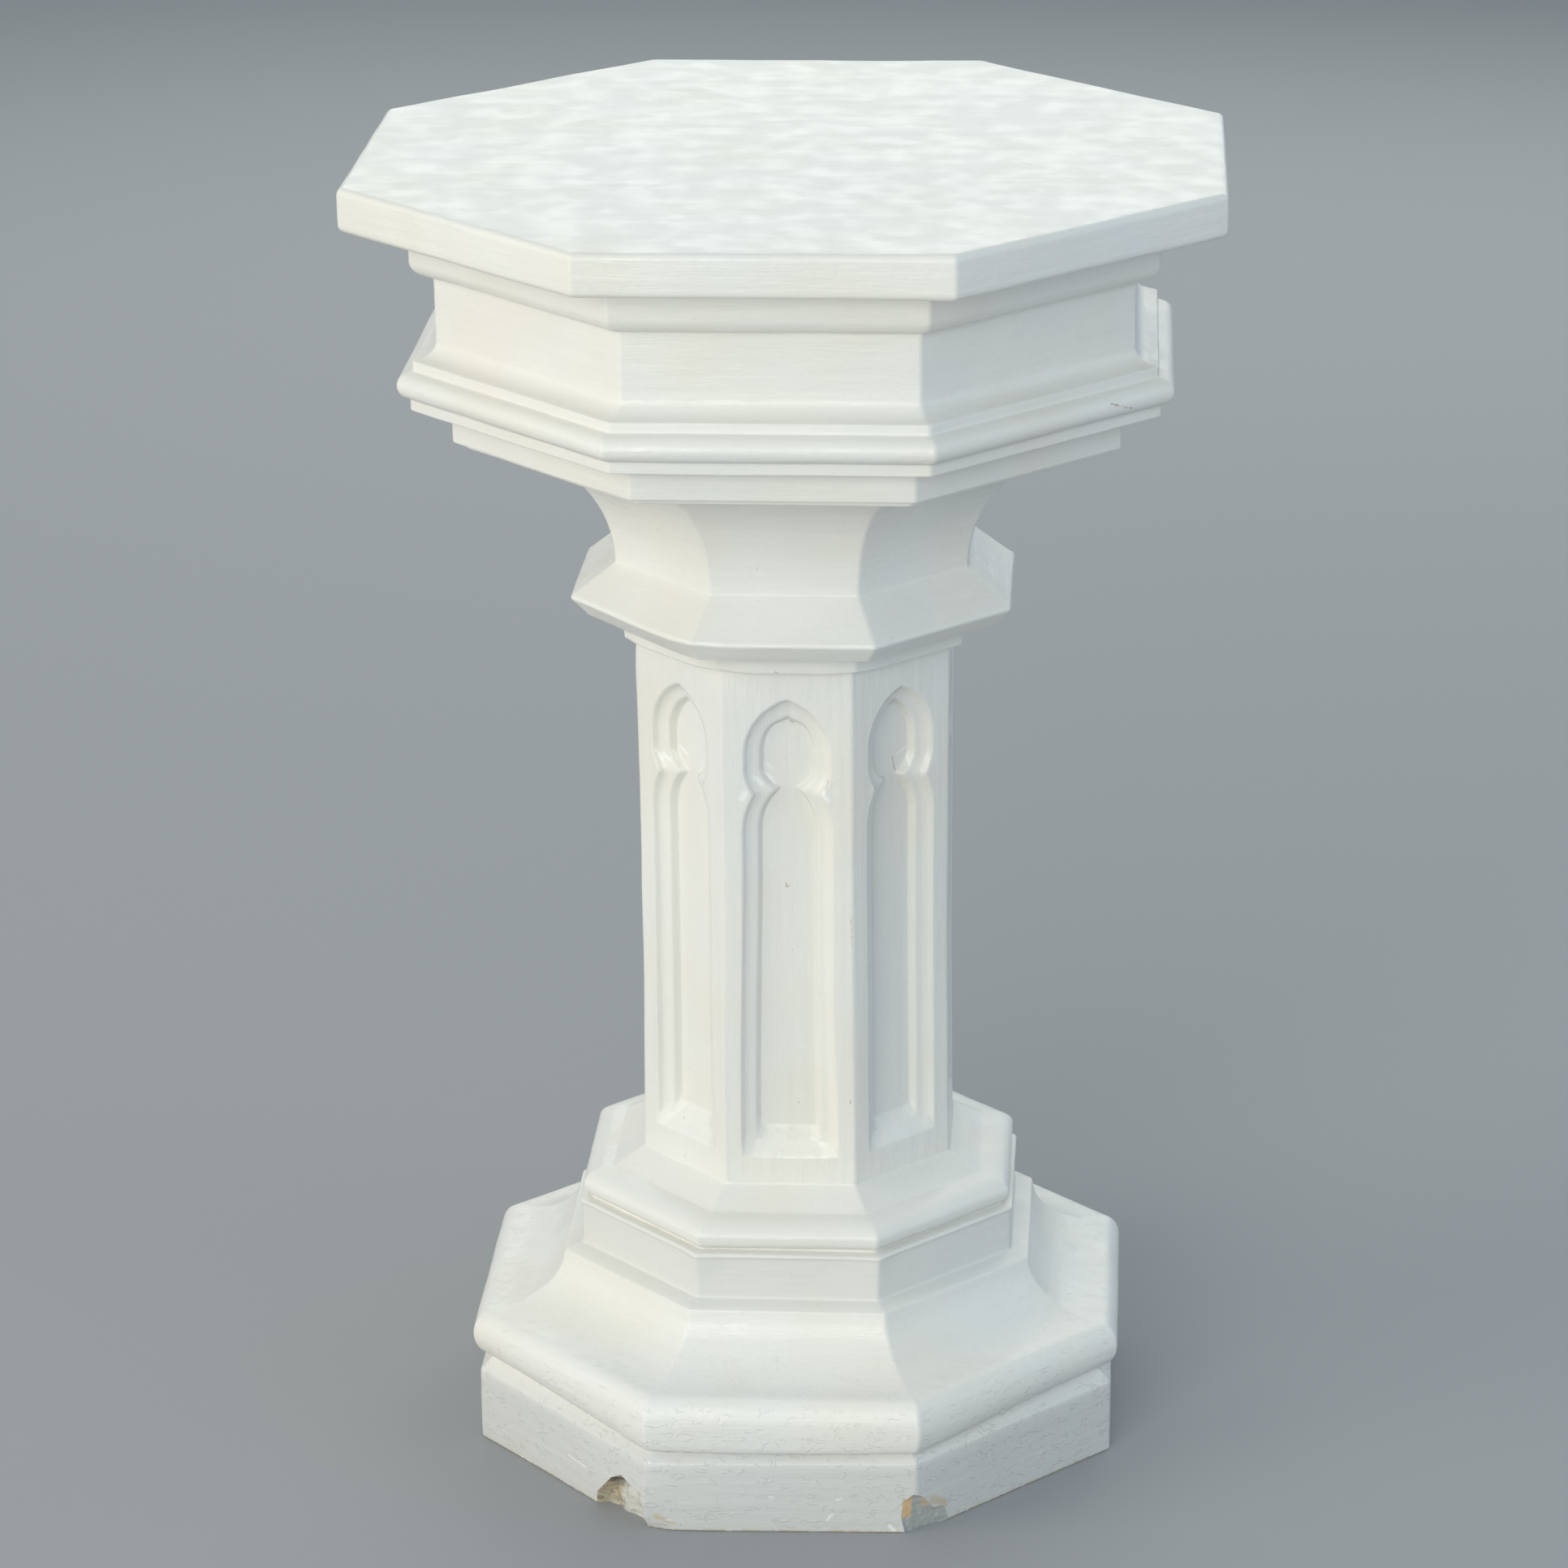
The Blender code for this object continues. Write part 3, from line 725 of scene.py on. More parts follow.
def break_depth(along, height):
    """How deep the left front face is broken away, by the distance from the corner and the height."""
    inside = inside_by(along, height, BREAK_OUTLINE)
    floor_depth = np.interp(along, *zip(*BREAK_FLOOR))
    middle, level, wide, high, extra = BREAK_RECESS
    hollow = np.exp(-(((along - middle) / wide) ** 2) - ((height - level) / high) ** 2)
    floor_depth = floor_depth + extra * hollow
    floor_depth += BREAK_LUMP_HEIGHT * lumps(along, height, BREAK_LUMP_LENGTH)
    stripes = np.sin((along * 0.8 + height * 0.5) * math.tau / BREAK_STRIPE_LENGTH)
    floor_depth += np.where(along > REPAINTED_WITHIN, BREAK_STRIPE_HEIGHT * stripes, 0.0)
    return np.where(inside > 0, np.minimum(BREAK_WALL_SLOPE * inside, floor_depth), inside)


def chip_depth(along, height):
    """How deep the corner is sheared away, in front of the corner and square to it."""
    outline = tuple(CHIP_POINTS[index][:2] for index in CHIP_EDGE)
    inside = inside_by(along, height, outline)
    depth = np.abs(along) * FACE_TAN + inside
    for facet in CHIP_FACETS:
        (ax, ay, ad), (bx, by, bd), (cx, cy, cd) = (CHIP_POINTS[index] for index in facet)
        area = (bx - ax) * (cy - ay) - (cx - ax) * (by - ay)
        to_b = ((along - ax) * (cy - ay) - (cx - ax) * (height - ay)) / area
        to_c = ((bx - ax) * (height - ay) - (along - ax) * (by - ay)) / area
        within = (to_b >= 0) & (to_c >= 0) & (to_b + to_c <= 1)
        depth = np.where(within, ad + to_b * (bd - ad) + to_c * (cd - ad), depth)
    rough = np.clip(inside / CLAY_CLEAR, 0.0, 1.0) * lumps(along, height, BREAK_LUMP_LENGTH / 2)
    return depth + CHIP_LUMP_HEIGHT * rough


def break_cutter(name, to_world, reach, depth_of, clay):
    """A closed block that takes the broken clay away, its inner side worked in small steps."""
    alongs = np.arange(reach[0], reach[1], CLAY_STEP)
    heights = np.arange(-CLAY_CLEAR, reach[2], CLAY_STEP)
    along, height = np.meshgrid(alongs, heights, indexing="ij")
    inner = np.maximum(depth_of(along, height), -CLAY_CLEAR)
    layers = []
    for depth in (inner, np.full(inner.shape, -3 * CLAY_CLEAR)):
        layers.append(np.stack([along, height, depth], axis=-1).reshape(-1, 3))
    points = [to_world @ Vector(point) for point in np.concatenate(layers)]
    wide, tall = along.shape
    size = wide * tall
    quads = [(i * tall + j, (i + 1) * tall + j) for i in range(wide - 1) for j in range(tall - 1)]
    faces = [(a, a + 1, b + 1, b) for a, b in quads]
    faces += [(a + size, b + size, b + size + 1, a + size + 1) for a, b in quads]
    rim = [i * tall for i in range(wide)] + [(wide - 1) * tall + j for j in range(1, tall)]
    rim += [i * tall + tall - 1 for i in range(wide - 2, -1, -1)] + [j for j in range(tall - 2, 0, -1)]
    faces += [(a, b, b + size, a + size) for a, b in zip(rim, rim[1:] + rim[:1])]
    mesh = bpy.data.meshes.new(name)
    mesh.from_pydata([tuple(point) for point in points], [], faces)
    shell = bmesh.new()
    shell.from_mesh(mesh)
    bmesh.ops.recalc_face_normals(shell, faces=shell.faces)
    shell.to_mesh(mesh)
    shell.free()
    mesh.materials.append(clay)
    return linked(name, mesh)


def frame_at(turn, distance, along, aside=0.0):
    """A frame on the plinth: x runs along the face, y up and z inwards, at this turn round the column."""
    outward = Vector((math.cos(turn), math.sin(turn), 0.0))
    x_axis = along * Vector((-outward.y, outward.x, 0.0))
    frame = Matrix((x_axis, Vector((0.0, 0.0, 1.0)), -outward)).transposed().to_4x4()
    frame.translation = outward * distance - x_axis * aside
    return frame


def take_away(piece, cutter):
    """Cuts the broken clay out of the casting and drops the block that stood for it."""
    cut = piece.modifiers.new(cutter.name, "BOOLEAN")
    cut.operation = "DIFFERENCE"
    cut.solver = "EXACT"
    cut.material_mode = "TRANSFER"
    cut.object = cutter
    made_plain(piece)
    bpy.data.objects.remove(cutter)


# The paint is an old off-white gloss, brushed thick, yellowed in patches; painted shade greys the quirks and
# foot.
# Strokes run round the mouldings, up the shaft and across the slab. Chips and rubbed spots show buff clay.
PAINT_COLOUR = (0.810, 0.795, 0.745, 1.0)
YELLOWED_COLOUR = (0.790, 0.745, 0.640, 1.0)
COOL_COLOUR = (0.745, 0.765, 0.765, 1.0)
# Dirt colour, also used for painted shade in the creases and in small pits.
DIRT_AND_SHADE_COLOUR = (0.360, 0.335, 0.275, 1.0)
# A grey for painted shade on the upright band and the foot.
PAINTED_SHADE_GREY = (0.430, 0.440, 0.440, 1.0)
RUST_COLOUR = (0.340, 0.180, 0.090, 1.0)
# Pale paint and clay grains, also used for painted glints in the panels' lobes.
PALE_AND_GLINT_COLOUR = (0.930, 0.930, 0.910, 1.0)
CLAY_COLOUR = (0.560, 0.470, 0.340, 1.0)
# Dark clay for stains and cracks, also used for painted shade in the break's deepest hollow.
DARK_CLAY_AND_SHADE_COLOUR = (0.120, 0.090, 0.062, 1.0)
OLIVE_CLAY_COLOUR = (0.420, 0.400, 0.330, 1.0)
REPAINT_COLOUR = (0.600, 0.585, 0.530, 1.0)
CHIP_PAINT_COLOUR = (0.420, 0.430, 0.400, 1.0)
CHIP_CLAY_COLOUR = (0.640, 0.450, 0.260, 1.0)
PAINT_ROUGHNESS = 0.24
PAINT_RELIEF = 0.00045
ROUND_THE_MOULDINGS = (45.0, 45.0, 620.0)
UP_THE_SHAFT = (560.0, 560.0, 30.0)
ACROSS_THE_SLAB = (26.0, 700.0, 700.0)
SLAB_STROKE_SHARE = 0.40
CLAY_ROUGHNESS = 0.85

RUST_MARKS = (
    ((-0.0032, -0.0798, 0.3613), (-0.0002, -0.0798, 0.3609), 0.0005),
    ((-0.0018, -0.0798, 0.3626), (-0.0015, -0.0798, 0.3600), 0.0006),
    ((0.1309, -0.0298, 0.7793), (0.1370, -0.0350, 0.7793), 0.0007),
    ((0.1392, -0.0370, 0.7793), (0.1457, -0.0429, 0.7792), 0.0005),
    ((0.1838, -0.1241, 0.6654), (0.1950, -0.1127, 0.6600), 0.0008),
)
# Dark marks: specks and dots; the ones at the front panel's apex hole and at the panels' cusps are painted
# shade in small pits.
DARK_SPOTS_AND_PIT_SHADE = (
    ((-0.0058, -0.0994, 0.4988), (-0.0045, -0.0994, 0.4984), 0.0007),
    ((0.0015, -0.0805, 0.4634), (0.0030, -0.0805, 0.4622), 0.0009),
    ((0.0238, -0.0899, 0.4305), (0.0222, -0.0902, 0.4250), 0.0006),
    ((-0.0652, -0.0644, 0.1818), (-0.0652, -0.0644, 0.1815), 0.0010),
    ((-0.0661, -0.0557, 0.2027), (-0.0661, -0.0557, 0.2025), 0.0008),
    ((-0.0848, -0.0716, 0.1661), (-0.0842, -0.0716, 0.1661), 0.0006),
    ((-0.0098, -0.0825, 0.2076), (-0.0080, -0.0825, 0.2077), 0.0005),
    ((-0.0121, -0.0846, 0.2048), (-0.0118, -0.0846, 0.2048), 0.0005),
    ((0.0041, -0.0802, 0.2246), (0.0048, -0.0802, 0.2246), 0.0005),
    ((-0.0436, -0.0852, 0.2186), (-0.0438, -0.0850, 0.1990), 0.0006),
    ((0.0359, -0.0909, 0.2303), (0.0356, -0.0909, 0.2292), 0.0008),
    ((0.0603, -0.1920, 0.0213), (0.0615, -0.1920, 0.0213), 0.0005),
    ((-0.0752, -0.1936, 0.0036), (-0.0652, -0.1951, 0.0034), 0.0005),
    ((0.0705, -0.1917, 0.0232), (0.0708, -0.1917, 0.0230), 0.0009),
    ((0.0740, -0.1916, 0.0236), (0.0743, -0.1916, 0.0234), 0.0007),
    ((0.0588, -0.0541, 0.4325), (0.0600, -0.0531, 0.4240), 0.0008),
)
CLAY_MARKS = (
    ((-0.0742, -0.1955, 0.0094), (-0.0700, -0.1957, 0.0082), 0.0026),
    ((-0.0695, -0.1953, 0.0062), (-0.0635, -0.1954, 0.0052), 0.0014),
    ((0.0365, -0.0904, 0.3473), (0.0364, -0.0905, 0.3286), 0.0005),
    ((0.0875, -0.1822, 0.0180), (0.0940, -0.1757, 0.0120), 0.0040),
    ((0.0706, -0.1917, 0.0225), (0.0716, -0.1912, 0.0120), 0.0014),
)
# Pale marks: whiter flakes and curls of paint; the rows round the panels' lobes are painted glints.
PALE_MARKS_AND_GLINTS = (
    ((-0.0662, -0.1957, 0.0078), (-0.0660, -0.1957, 0.0077), 0.0010),
    ((-0.1310, -0.1423, 0.0208), (-0.1190, -0.1556, 0.0204), 0.0008),
    ((0.0625, -0.1919, 0.0050), (0.0648, -0.1918, 0.0020), 0.0016),
    ((0.0255, -0.1933, 0.0086), (0.0291, -0.1932, 0.0120), 0.0010),
    ((0.0313, -0.1931, 0.0217), (0.0344, -0.1930, 0.0223), 0.0009),
    ((-0.0074, -0.1943, 0.0232), (-0.0052, -0.1942, 0.0224), 0.0009),
    ((-0.0125, -0.0804, 0.4371), (-0.0103, -0.0804, 0.4348), 0.0011),
    ((-0.0152, -0.0828, 0.4331), (-0.0115, -0.0804, 0.4293), 0.0014),
    ((-0.0195, -0.0862, 0.4300), (-0.0153, -0.0856, 0.4260), 0.0023),
    ((-0.0102, -0.0804, 0.4285), (-0.0080, -0.0806, 0.4250), 0.0014),
    ((-0.0794, -0.0461, 0.4320), (-0.0762, -0.0472, 0.4272), 0.0019),
    ((-0.0755, -0.0467, 0.4300), (-0.0715, -0.0492, 0.4268), 0.0019),
    ((-0.0694, -0.0480, 0.4328), (-0.0672, -0.0493, 0.4282), 0.0012),
    ((-0.0650, -0.0484, 0.4355), (-0.0608, -0.0528, 0.4320), 0.0016),
    ((0.0611, -0.0521, 0.4335), (0.0660, -0.0473, 0.4361), 0.0010),
    ((0.0672, -0.0479, 0.4303), (0.0689, -0.0505, 0.4262), 0.0016),
    ((0.0466, -0.0818, 0.4194), (0.0486, -0.0797, 0.4236), 0.0006),
    ((-0.0249, -0.0909, 0.4218), (-0.0262, -0.0906, 0.4190), 0.0030),
    ((0.0210, -0.0905, 0.4220), (0.0230, -0.0905, 0.4180), 0.0018),
    ((-0.0374, -0.0917, 0.1771), (-0.0374, -0.0917, 0.1771), 0.0013),
    ((-0.0454, -0.1090, 0.1664), (-0.0454, -0.1090, 0.1664), 0.0012),
    ((-0.0518, -0.1259, 0.1609), (-0.0518, -0.1292, 0.1441), 0.0008),
    ((-0.0528, -0.1329, 0.1185), (-0.0528, -0.1329, 0.1185), 0.0013),
    ((0.0002, -0.0805, 0.4640), (0.0012, -0.0805, 0.4636), 0.0005),
    ((-0.0776, -0.1929, 0.0432), (-0.0776, -0.1929, 0.0445), 0.0012),
)
CLAY_FLAKES = (((-0.0897, -0.1665, 0.0170), (-0.0885, -0.1677, 0.0190), 0.0046),)
CLAY_CRACKS = (
    ((-0.0950, -0.1610, 0.0160), (-0.0957, -0.1603, 0.0105), 0.0010),
    ((-0.0905, -0.1655, 0.0125), (-0.0915, -0.1645, 0.0105), 0.0010),
    ((-0.0805, -0.1755, 0.0095), (-0.0780, -0.1780, 0.0075), 0.0007),
    ((-0.0810, -0.1750, 0.0050), (-0.0775, -0.1785, 0.0030), 0.0008),
)
CRACKS = (
    ((-0.0546, -0.1027, 0.1660), (-0.0348, -0.1091, 0.1666), 0.00028),
    ((-0.0348, -0.1091, 0.1666), (0.0138, -0.1218, 0.1640), 0.00025),
    ((0.0346, -0.1290, 0.1311), (0.0346, -0.1310, 0.1190), 0.00030),
    ((-0.0053, -0.1526, 0.0932), (-0.0049, -0.1602, 0.0885), 0.00028),
    ((0.0327, -0.1612, 0.0878), (0.0333, -0.1715, 0.0845), 0.00030),
)


ORIGIN = (0.0, 0.0, 0.0)


def shader_group(name, output, **inputs):
    """An empty shader group with these inputs and one output, its input sockets and its output socket."""
    tree = bpy.data.node_groups.new(name, "ShaderNodeTree")
    for socket, value in inputs.items():
        kind = "NodeSocketVector" if isinstance(value, tuple) else "NodeSocketFloat"
        item = tree.interface.new_socket(socket_name(socket), in_out="INPUT", socket_type=kind)
        item.default_value = value
    tree.interface.new_socket(output, in_out="OUTPUT", socket_type="NodeSocketFloat")
    return tree, tree.nodes.new("NodeGroupInput").outputs, tree.nodes.new("NodeGroupOutput").inputs[0]


def socket_name(word):
    """The name on a group's socket for the word that the script gives it."""
    return word.replace("_", " ").title()


def ramp(tree, value, start, end, low=0.0, high=1.0):
    """A smooth step of a value between two others."""
    given = {0: value, 1: start, 2: end, 3: low, 4: high}
    return add_node(tree, "ShaderNodeMapRange", given, interpolation_type="SMOOTHSTEP").outputs[0]


def between(tree, value, starts, full, stays, ends):
    """One where a value lies in a band, with a soft step at either side of it."""
    return times(tree, ramp(tree, value, starts, full), ramp(tree, value, ends, stays))


def mixed(tree, share, first, second):
    """The colour between two, at this share of the second."""
    return add_node(tree, "ShaderNodeMix", {0: share, 6: first, 7: second}, data_type="RGBA").outputs[2]


def mixed_vector(tree, share, first, second):
    """The vector between two, at this share of the second."""
    return add_node(tree, "ShaderNodeMix", {0: share, 4: first, 5: second}, data_type="VECTOR").outputs[1]


def coated(tree, colour, coats):
    """A colour under coats, each a mask, its strength and its own colour."""
    for mask, strength, coat in coats:
        colour = mixed(tree, times(tree, mask, strength), colour, coat)
    return colour


def brush_stroke_group():
    """Long strokes, as left by the bristles, stretched by the grain."""
    tree, given, out = shader_group("brush_strokes", "Height", place=ORIGIN, grain=(1.0, 1.0, 1.0), seed=0.0)
    stretched = vector(tree, "MULTIPLY", given["Place"], given["Grain"])
    broad = noise_value(tree, stretched, 0.35, 0.0, given["Seed"])
    fine = noise_value(tree, stretched, 1.3, 1.0, given["Seed"])
    tree.links.new(plus(tree, times(tree, broad, 0.65), times(tree, fine, 0.35)), out)
    return tree


def mottle_group():
    """Soft patches of the given size that cover about the given share of the surface."""
    tree, given, out = shader_group(
        "mottle", "Mask", place=ORIGIN, size=0.05, cover=0.5, softness=0.15, seed=0.0
    )
    value = noise_value(tree, given["Place"], over(tree, 1.0, given["Size"]), 1.0, given["Seed"])
    edge = minus(tree, 1.0, given["Cover"])
    low, high = minus(tree, edge, given["Softness"]), plus(tree, edge, given["Softness"])
    tree.links.new(ramp(tree, value, low, high), out)
    return tree


def crazing_group():
    """A net of hair cracks in the paint, with cells of the given size."""
    tree, given, out = shader_group("crazing", "Mask", place=ORIGIN, cell_size=0.01, line_width=0.02)
    cells = {"Vector": given["Place"], "Scale": over(tree, 1.0, given["Cell Size"])}
    from_edge = add_node(tree, "ShaderNodeTexVoronoi", cells, feature="DISTANCE_TO_EDGE").outputs[0]
    tree.links.new(ramp(tree, from_edge, 0.0, given["Line Width"], 1.0, 0.0), out)
    return tree


def speck_group():
    """Small dark specks, one in some of the cells of the given size."""
    tree, given, out = shader_group(
        "specks", "Mask", place=ORIGIN, cell_size=0.012, speck_size=0.04, share=0.2
    )
    cells = {"Vector": given["Place"], "Scale": over(tree, 1.0, given["Cell Size"])}
    cells = add_node(tree, "ShaderNodeTexVoronoi", cells).outputs
    spot = ramp(tree, cells["Distance"], given["Speck Size"], 0.0)
    pick = add_node(tree, "ShaderNodeSeparateColor", {0: cells["Color"]}).outputs[0]
    chosen = compute(tree, "LESS_THAN", pick, given["Share"])
    tree.links.new(times(tree, spot, chosen), out)
    return tree


def mark_group():
    """One stroke of a mark along its run from the start, solid within the core and gone at the width."""
    tree, given, out = shader_group(
        "mark", "Mask", place=ORIGIN, start=ORIGIN, run=ORIGIN, share_per_dot=0.0, width=0.001, core=0.0005
    )
    offset = vector(tree, "SUBTRACT", given["Place"], given["Start"])
    dot = vector(tree, "DOT_PRODUCT", offset, given["Run"])
    share = compute(tree, "MULTIPLY", dot, given["Share Per Dot"], clamp=True)
    away = vector(tree, "DISTANCE", offset, vector(tree, "SCALE", given["Run"], share))
    tree.links.new(ramp(tree, away, given["Width"], given["Core"]), out)
    return tree


def spot_group():
    """One round spot, solid within the core and gone at the width."""
    tree, given, out = shader_group("spot", "Mask", place=ORIGIN, middle=ORIGIN, width=0.001, core=0.0005)
    away = vector(tree, "DISTANCE", given["Place"], given["Middle"])
    tree.links.new(ramp(tree, away, given["Width"], given["Core"]), out)
    return tree


def ridge_group():
    """Short raised curls and drags in the paint, where a skin of it was caught by the brush."""
    tree, given, out = shader_group("paint_ridges", "Height", place=ORIGIN, size=0.02, cover=0.3, seed=0.0)
    scale = over(tree, 1.0, given["Size"])
    value = noise_value(tree, given["Place"], scale, 1.0, given["Seed"])
    away = compute(tree, "ABSOLUTE", minus(tree, value, 0.5))
    crest = ramp(tree, away, 0.030, 0.0)
    part = noise_value(tree, given["Place"], times(tree, scale, 0.8), 0.0, 2.0)
    edge = minus(tree, 1.0, given["Cover"])
    part = ramp(tree, part, minus(tree, edge, 0.12), plus(tree, edge, 0.02))
    tree.links.new(times(tree, crest, part), out)
    return tree


BRUSH_STROKES = brush_stroke_group()
RIDGES = ridge_group()
MOTTLE = mottle_group()
CRAZING = crazing_group()
SPECKS = speck_group()
MARK = mark_group()
SPOT = spot_group()
MARK_CORE = 0.20


def use_group(tree, group, place, **values):
    """The output of a group placed in a material with these values."""
    named = {socket_name(name): value for name, value in values.items()}
    return add_node(tree, "ShaderNodeGroup", {"Place": place, **named}, node_tree=group).outputs[0]


def mottle(tree, place, size, cover, softness, seed):
    """Where soft patches lie."""
    return use_group(tree, MOTTLE, place, size=size, cover=cover, softness=softness, seed=seed)


def marks_mask(tree, place, marks):
    """All of these marks together."""
    mask = 0.0
    for start, end, width in marks:
        run = Vector(end) - Vector(start)
        sizes = {"width": width, "core": MARK_CORE * width}
        if run.length < width:
            own = use_group(tree, SPOT, place, middle=Vector(start) + run / 2, **sizes)
        else:
            sizes["share_per_dot"] = 1 / run.length_squared
            own = use_group(tree, MARK, place, start=start, run=run, **sizes)
        mask = most(tree, mask, own)
    return mask


def part_of(tree, name):
    """The value that the mesh carries under this name."""
    value = add_node(tree, "ShaderNodeAttribute", attribute_name=name).outputs["Fac"]
    return compute(tree, "MULTIPLY", value, 1.0, clamp=True)


def new_material(name):
    """A material, its tree, the place on the piece and the shader."""
    material = bpy.data.materials.new(name)
    material.use_nodes = True
    tree = material.node_tree
    place = tree.nodes.new("ShaderNodeTexCoord").outputs["Object"]
    return material, tree, place, tree.nodes["Principled BSDF"]


def ragged(tree, place, length, amount):
    """The place shifted a little each way, so that marks have ragged edges."""
    values = {"Vector": place, "Scale": 1 / length, "Detail": 1.0}
    shift = add_node(tree, "ShaderNodeTexNoise", values).outputs["Color"]
    centred = vector(tree, "SUBTRACT", shift, (0.5, 0.5, 0.5))
    return vector(tree, "ADD", place, vector(tree, "SCALE", centred, 2 * amount))


def bumped(tree, height, distance, shader):
    """Feeds a height to the shader's normal, where a height of one stands this far out."""
    bump = add_node(tree, "ShaderNodeBump", {"Height": height, "Distance": distance, "Strength": 1.0})
    tree.links.new(bump.outputs[0], shader.inputs["Normal"])


LEVEL_FACING = 0.92
SHAFT_FOOT_LEVEL = 0.1775
SHAFT_HEAD_LEVEL = 0.4965
# Painted shade in the creases: a base darkening, and more where the grime mottle lies.
SHADE_IN_CREASE = 0.02
CREASE_DIRT_AND_SHADE_BY_GRIME = 0.18


def paint_material():
    """Old gloss paint over the whole casting."""
    material, tree, place, shader = new_material("painted_body")
    axes = axes_of(tree, place)
    facing = axes_of(tree, tree.nodes.new("ShaderNodeNewGeometry").outputs["Normal"])["Z"]
    level = compute(tree, "GREATER_THAN", facing, LEVEL_FACING)
    above_foot = compute(tree, "GREATER_THAN", axes["Z"], SHAFT_FOOT_LEVEL)
    on_shaft = times(tree, above_foot, compute(tree, "LESS_THAN", axes["Z"], SHAFT_HEAD_LEVEL))
    grain = mixed_vector(tree, on_shaft, ROUND_THE_MOULDINGS, UP_THE_SHAFT)
    grain = mixed_vector(tree, level, grain, ACROSS_THE_SLAB)
    strokes = use_group(tree, BRUSH_STROKES, place, grain=grain, seed=1.0)

    rough_place = ragged(tree, place, 0.0030, 0.0010)
    yellowed = mottle(tree, place, 0.070, 0.46, 0.16, 0.4)
    cool = mottle(tree, place, 0.110, 0.44, 0.14, 0.9)
    grime = mottle(tree, place, 0.018, 0.55, 0.22, 0.6)
    # Painted shade: the colour darkens where the surface is hollow, in the creases and quirks, and more where
    # grime lies.
    crease_shade_and_dirt = times(tree, part_of(tree, "crease"), plus(tree, times(tree, grime, CREASE_DIRT_AND_SHADE_BY_GRIME), SHADE_IN_CREASE))
    specks = use_group(tree, SPECKS, rough_place, cell_size=0.016, speck_size=0.045, share=0.16)
    rubbed = times(tree, part_of(tree, "arris"), mottle(tree, place, 0.0040, 0.27, 0.05, 0.8))
    foot_edge = ramp(tree, axes_of(tree, rough_place)["Z"], 0.0022, 0.0008)
    clay_shows = times(tree, foot_edge, mottle(tree, place, 0.0035, 0.56, 0.05, 0.5))
    clay_shows = most(tree, clay_shows, marks_mask(tree, rough_place, CLAY_MARKS))
    # Dark specks, and painted shade in the small pits at the panels' apex and cusps.
    dark = marks_mask(tree, rough_place, DARK_SPOTS_AND_PIT_SHADE)
    rust = marks_mask(tree, rough_place, RUST_MARKS)
    # Pale flakes at the foot, plus pale marks, some of which are painted glints in the panel lobes.
    pale_and_glints = times(tree, foot_edge, mottle(tree, place, 0.0060, 0.38, 0.04, 0.2))
    pale_and_glints = most(tree, pale_and_glints, marks_mask(tree, rough_place, PALE_MARKS_AND_GLINTS))
    net = use_group(tree, CRAZING, rough_place, cell_size=0.0110, line_width=0.022)
    on_sweep = between(tree, axes["Z"], 0.070, 0.076, 0.104, 0.112)
    behind = times(tree, ramp(tree, axes["Y"], -0.085, -0.055), cool)
    net = times(tree, net, times(tree, on_sweep, behind))
    cracks = most(tree, net, marks_mask(tree, rough_place, CRACKS))
    # Painted shade: the upright band is greyed a little and the foot more, darker towards the floor.
    band_shade = between(tree, axes["Z"], 0.116, 0.119, 0.145, 0.149)
    foot_shade = ramp(tree, axes["Z"], 0.056, 0.036)

    coats = (
        (yellowed, 0.40, YELLOWED_COLOUR),
        (cool, 0.30, COOL_COLOUR),
        (strokes, 0.07, DIRT_AND_SHADE_COLOUR),
        (crease_shade_and_dirt, 1.00, DIRT_AND_SHADE_COLOUR),
        (band_shade, 0.20, PAINTED_SHADE_GREY),
        (foot_shade, 0.46, PAINTED_SHADE_GREY),
        (rubbed, 0.55, YELLOWED_COLOUR),
        (specks, 0.55, DIRT_AND_SHADE_COLOUR),
        (cracks, 0.35, DIRT_AND_SHADE_COLOUR),
        (clay_shows, 0.85, CLAY_COLOUR),
        (dark, 0.60, DIRT_AND_SHADE_COLOUR),
        (rust, 0.65, RUST_COLOUR),
        (pale_and_glints, 0.62, PALE_AND_GLINT_COLOUR),
    )
    tree.links.new(coated(tree, PAINT_COLOUR, coats), shader.inputs["Base Color"])

    dull = plus(tree, times(tree, grime, 0.12), PAINT_ROUGHNESS)
    dull = plus(tree, times(tree, strokes, 0.10), dull)
    bare = most(tree, clay_shows, most(tree, crease_shade_and_dirt, dark))
    roughness = compute(tree, "ADD", dull, times(tree, bare, 0.45), clamp=True)
    tree.links.new(roughness, shader.inputs["Roughness"])

    peel = noise_value(tree, place, 260.0, 0.0, 3.0)
    flattened = vector(tree, "MULTIPLY", place, (1.0, 1.0, 1.8))
    ridges = use_group(tree, RIDGES, flattened, size=0.0064, cover=0.37, seed=1.2)
    ridges = times(tree, ridges, ramp(tree, axes["Z"], 0.120, 0.046, 0.25, 1.0))
    worn_flat = ramp(tree, facing, 0.75, 0.95, 1.0, SLAB_STROKE_SHARE)
    height = plus(tree, times(tree, strokes, worn_flat), times(tree, peel, 0.35))
    bumped(tree, plus(tree, height, times(tree, ridges, 0.45)), PAINT_RELIEF, shader)
    return material


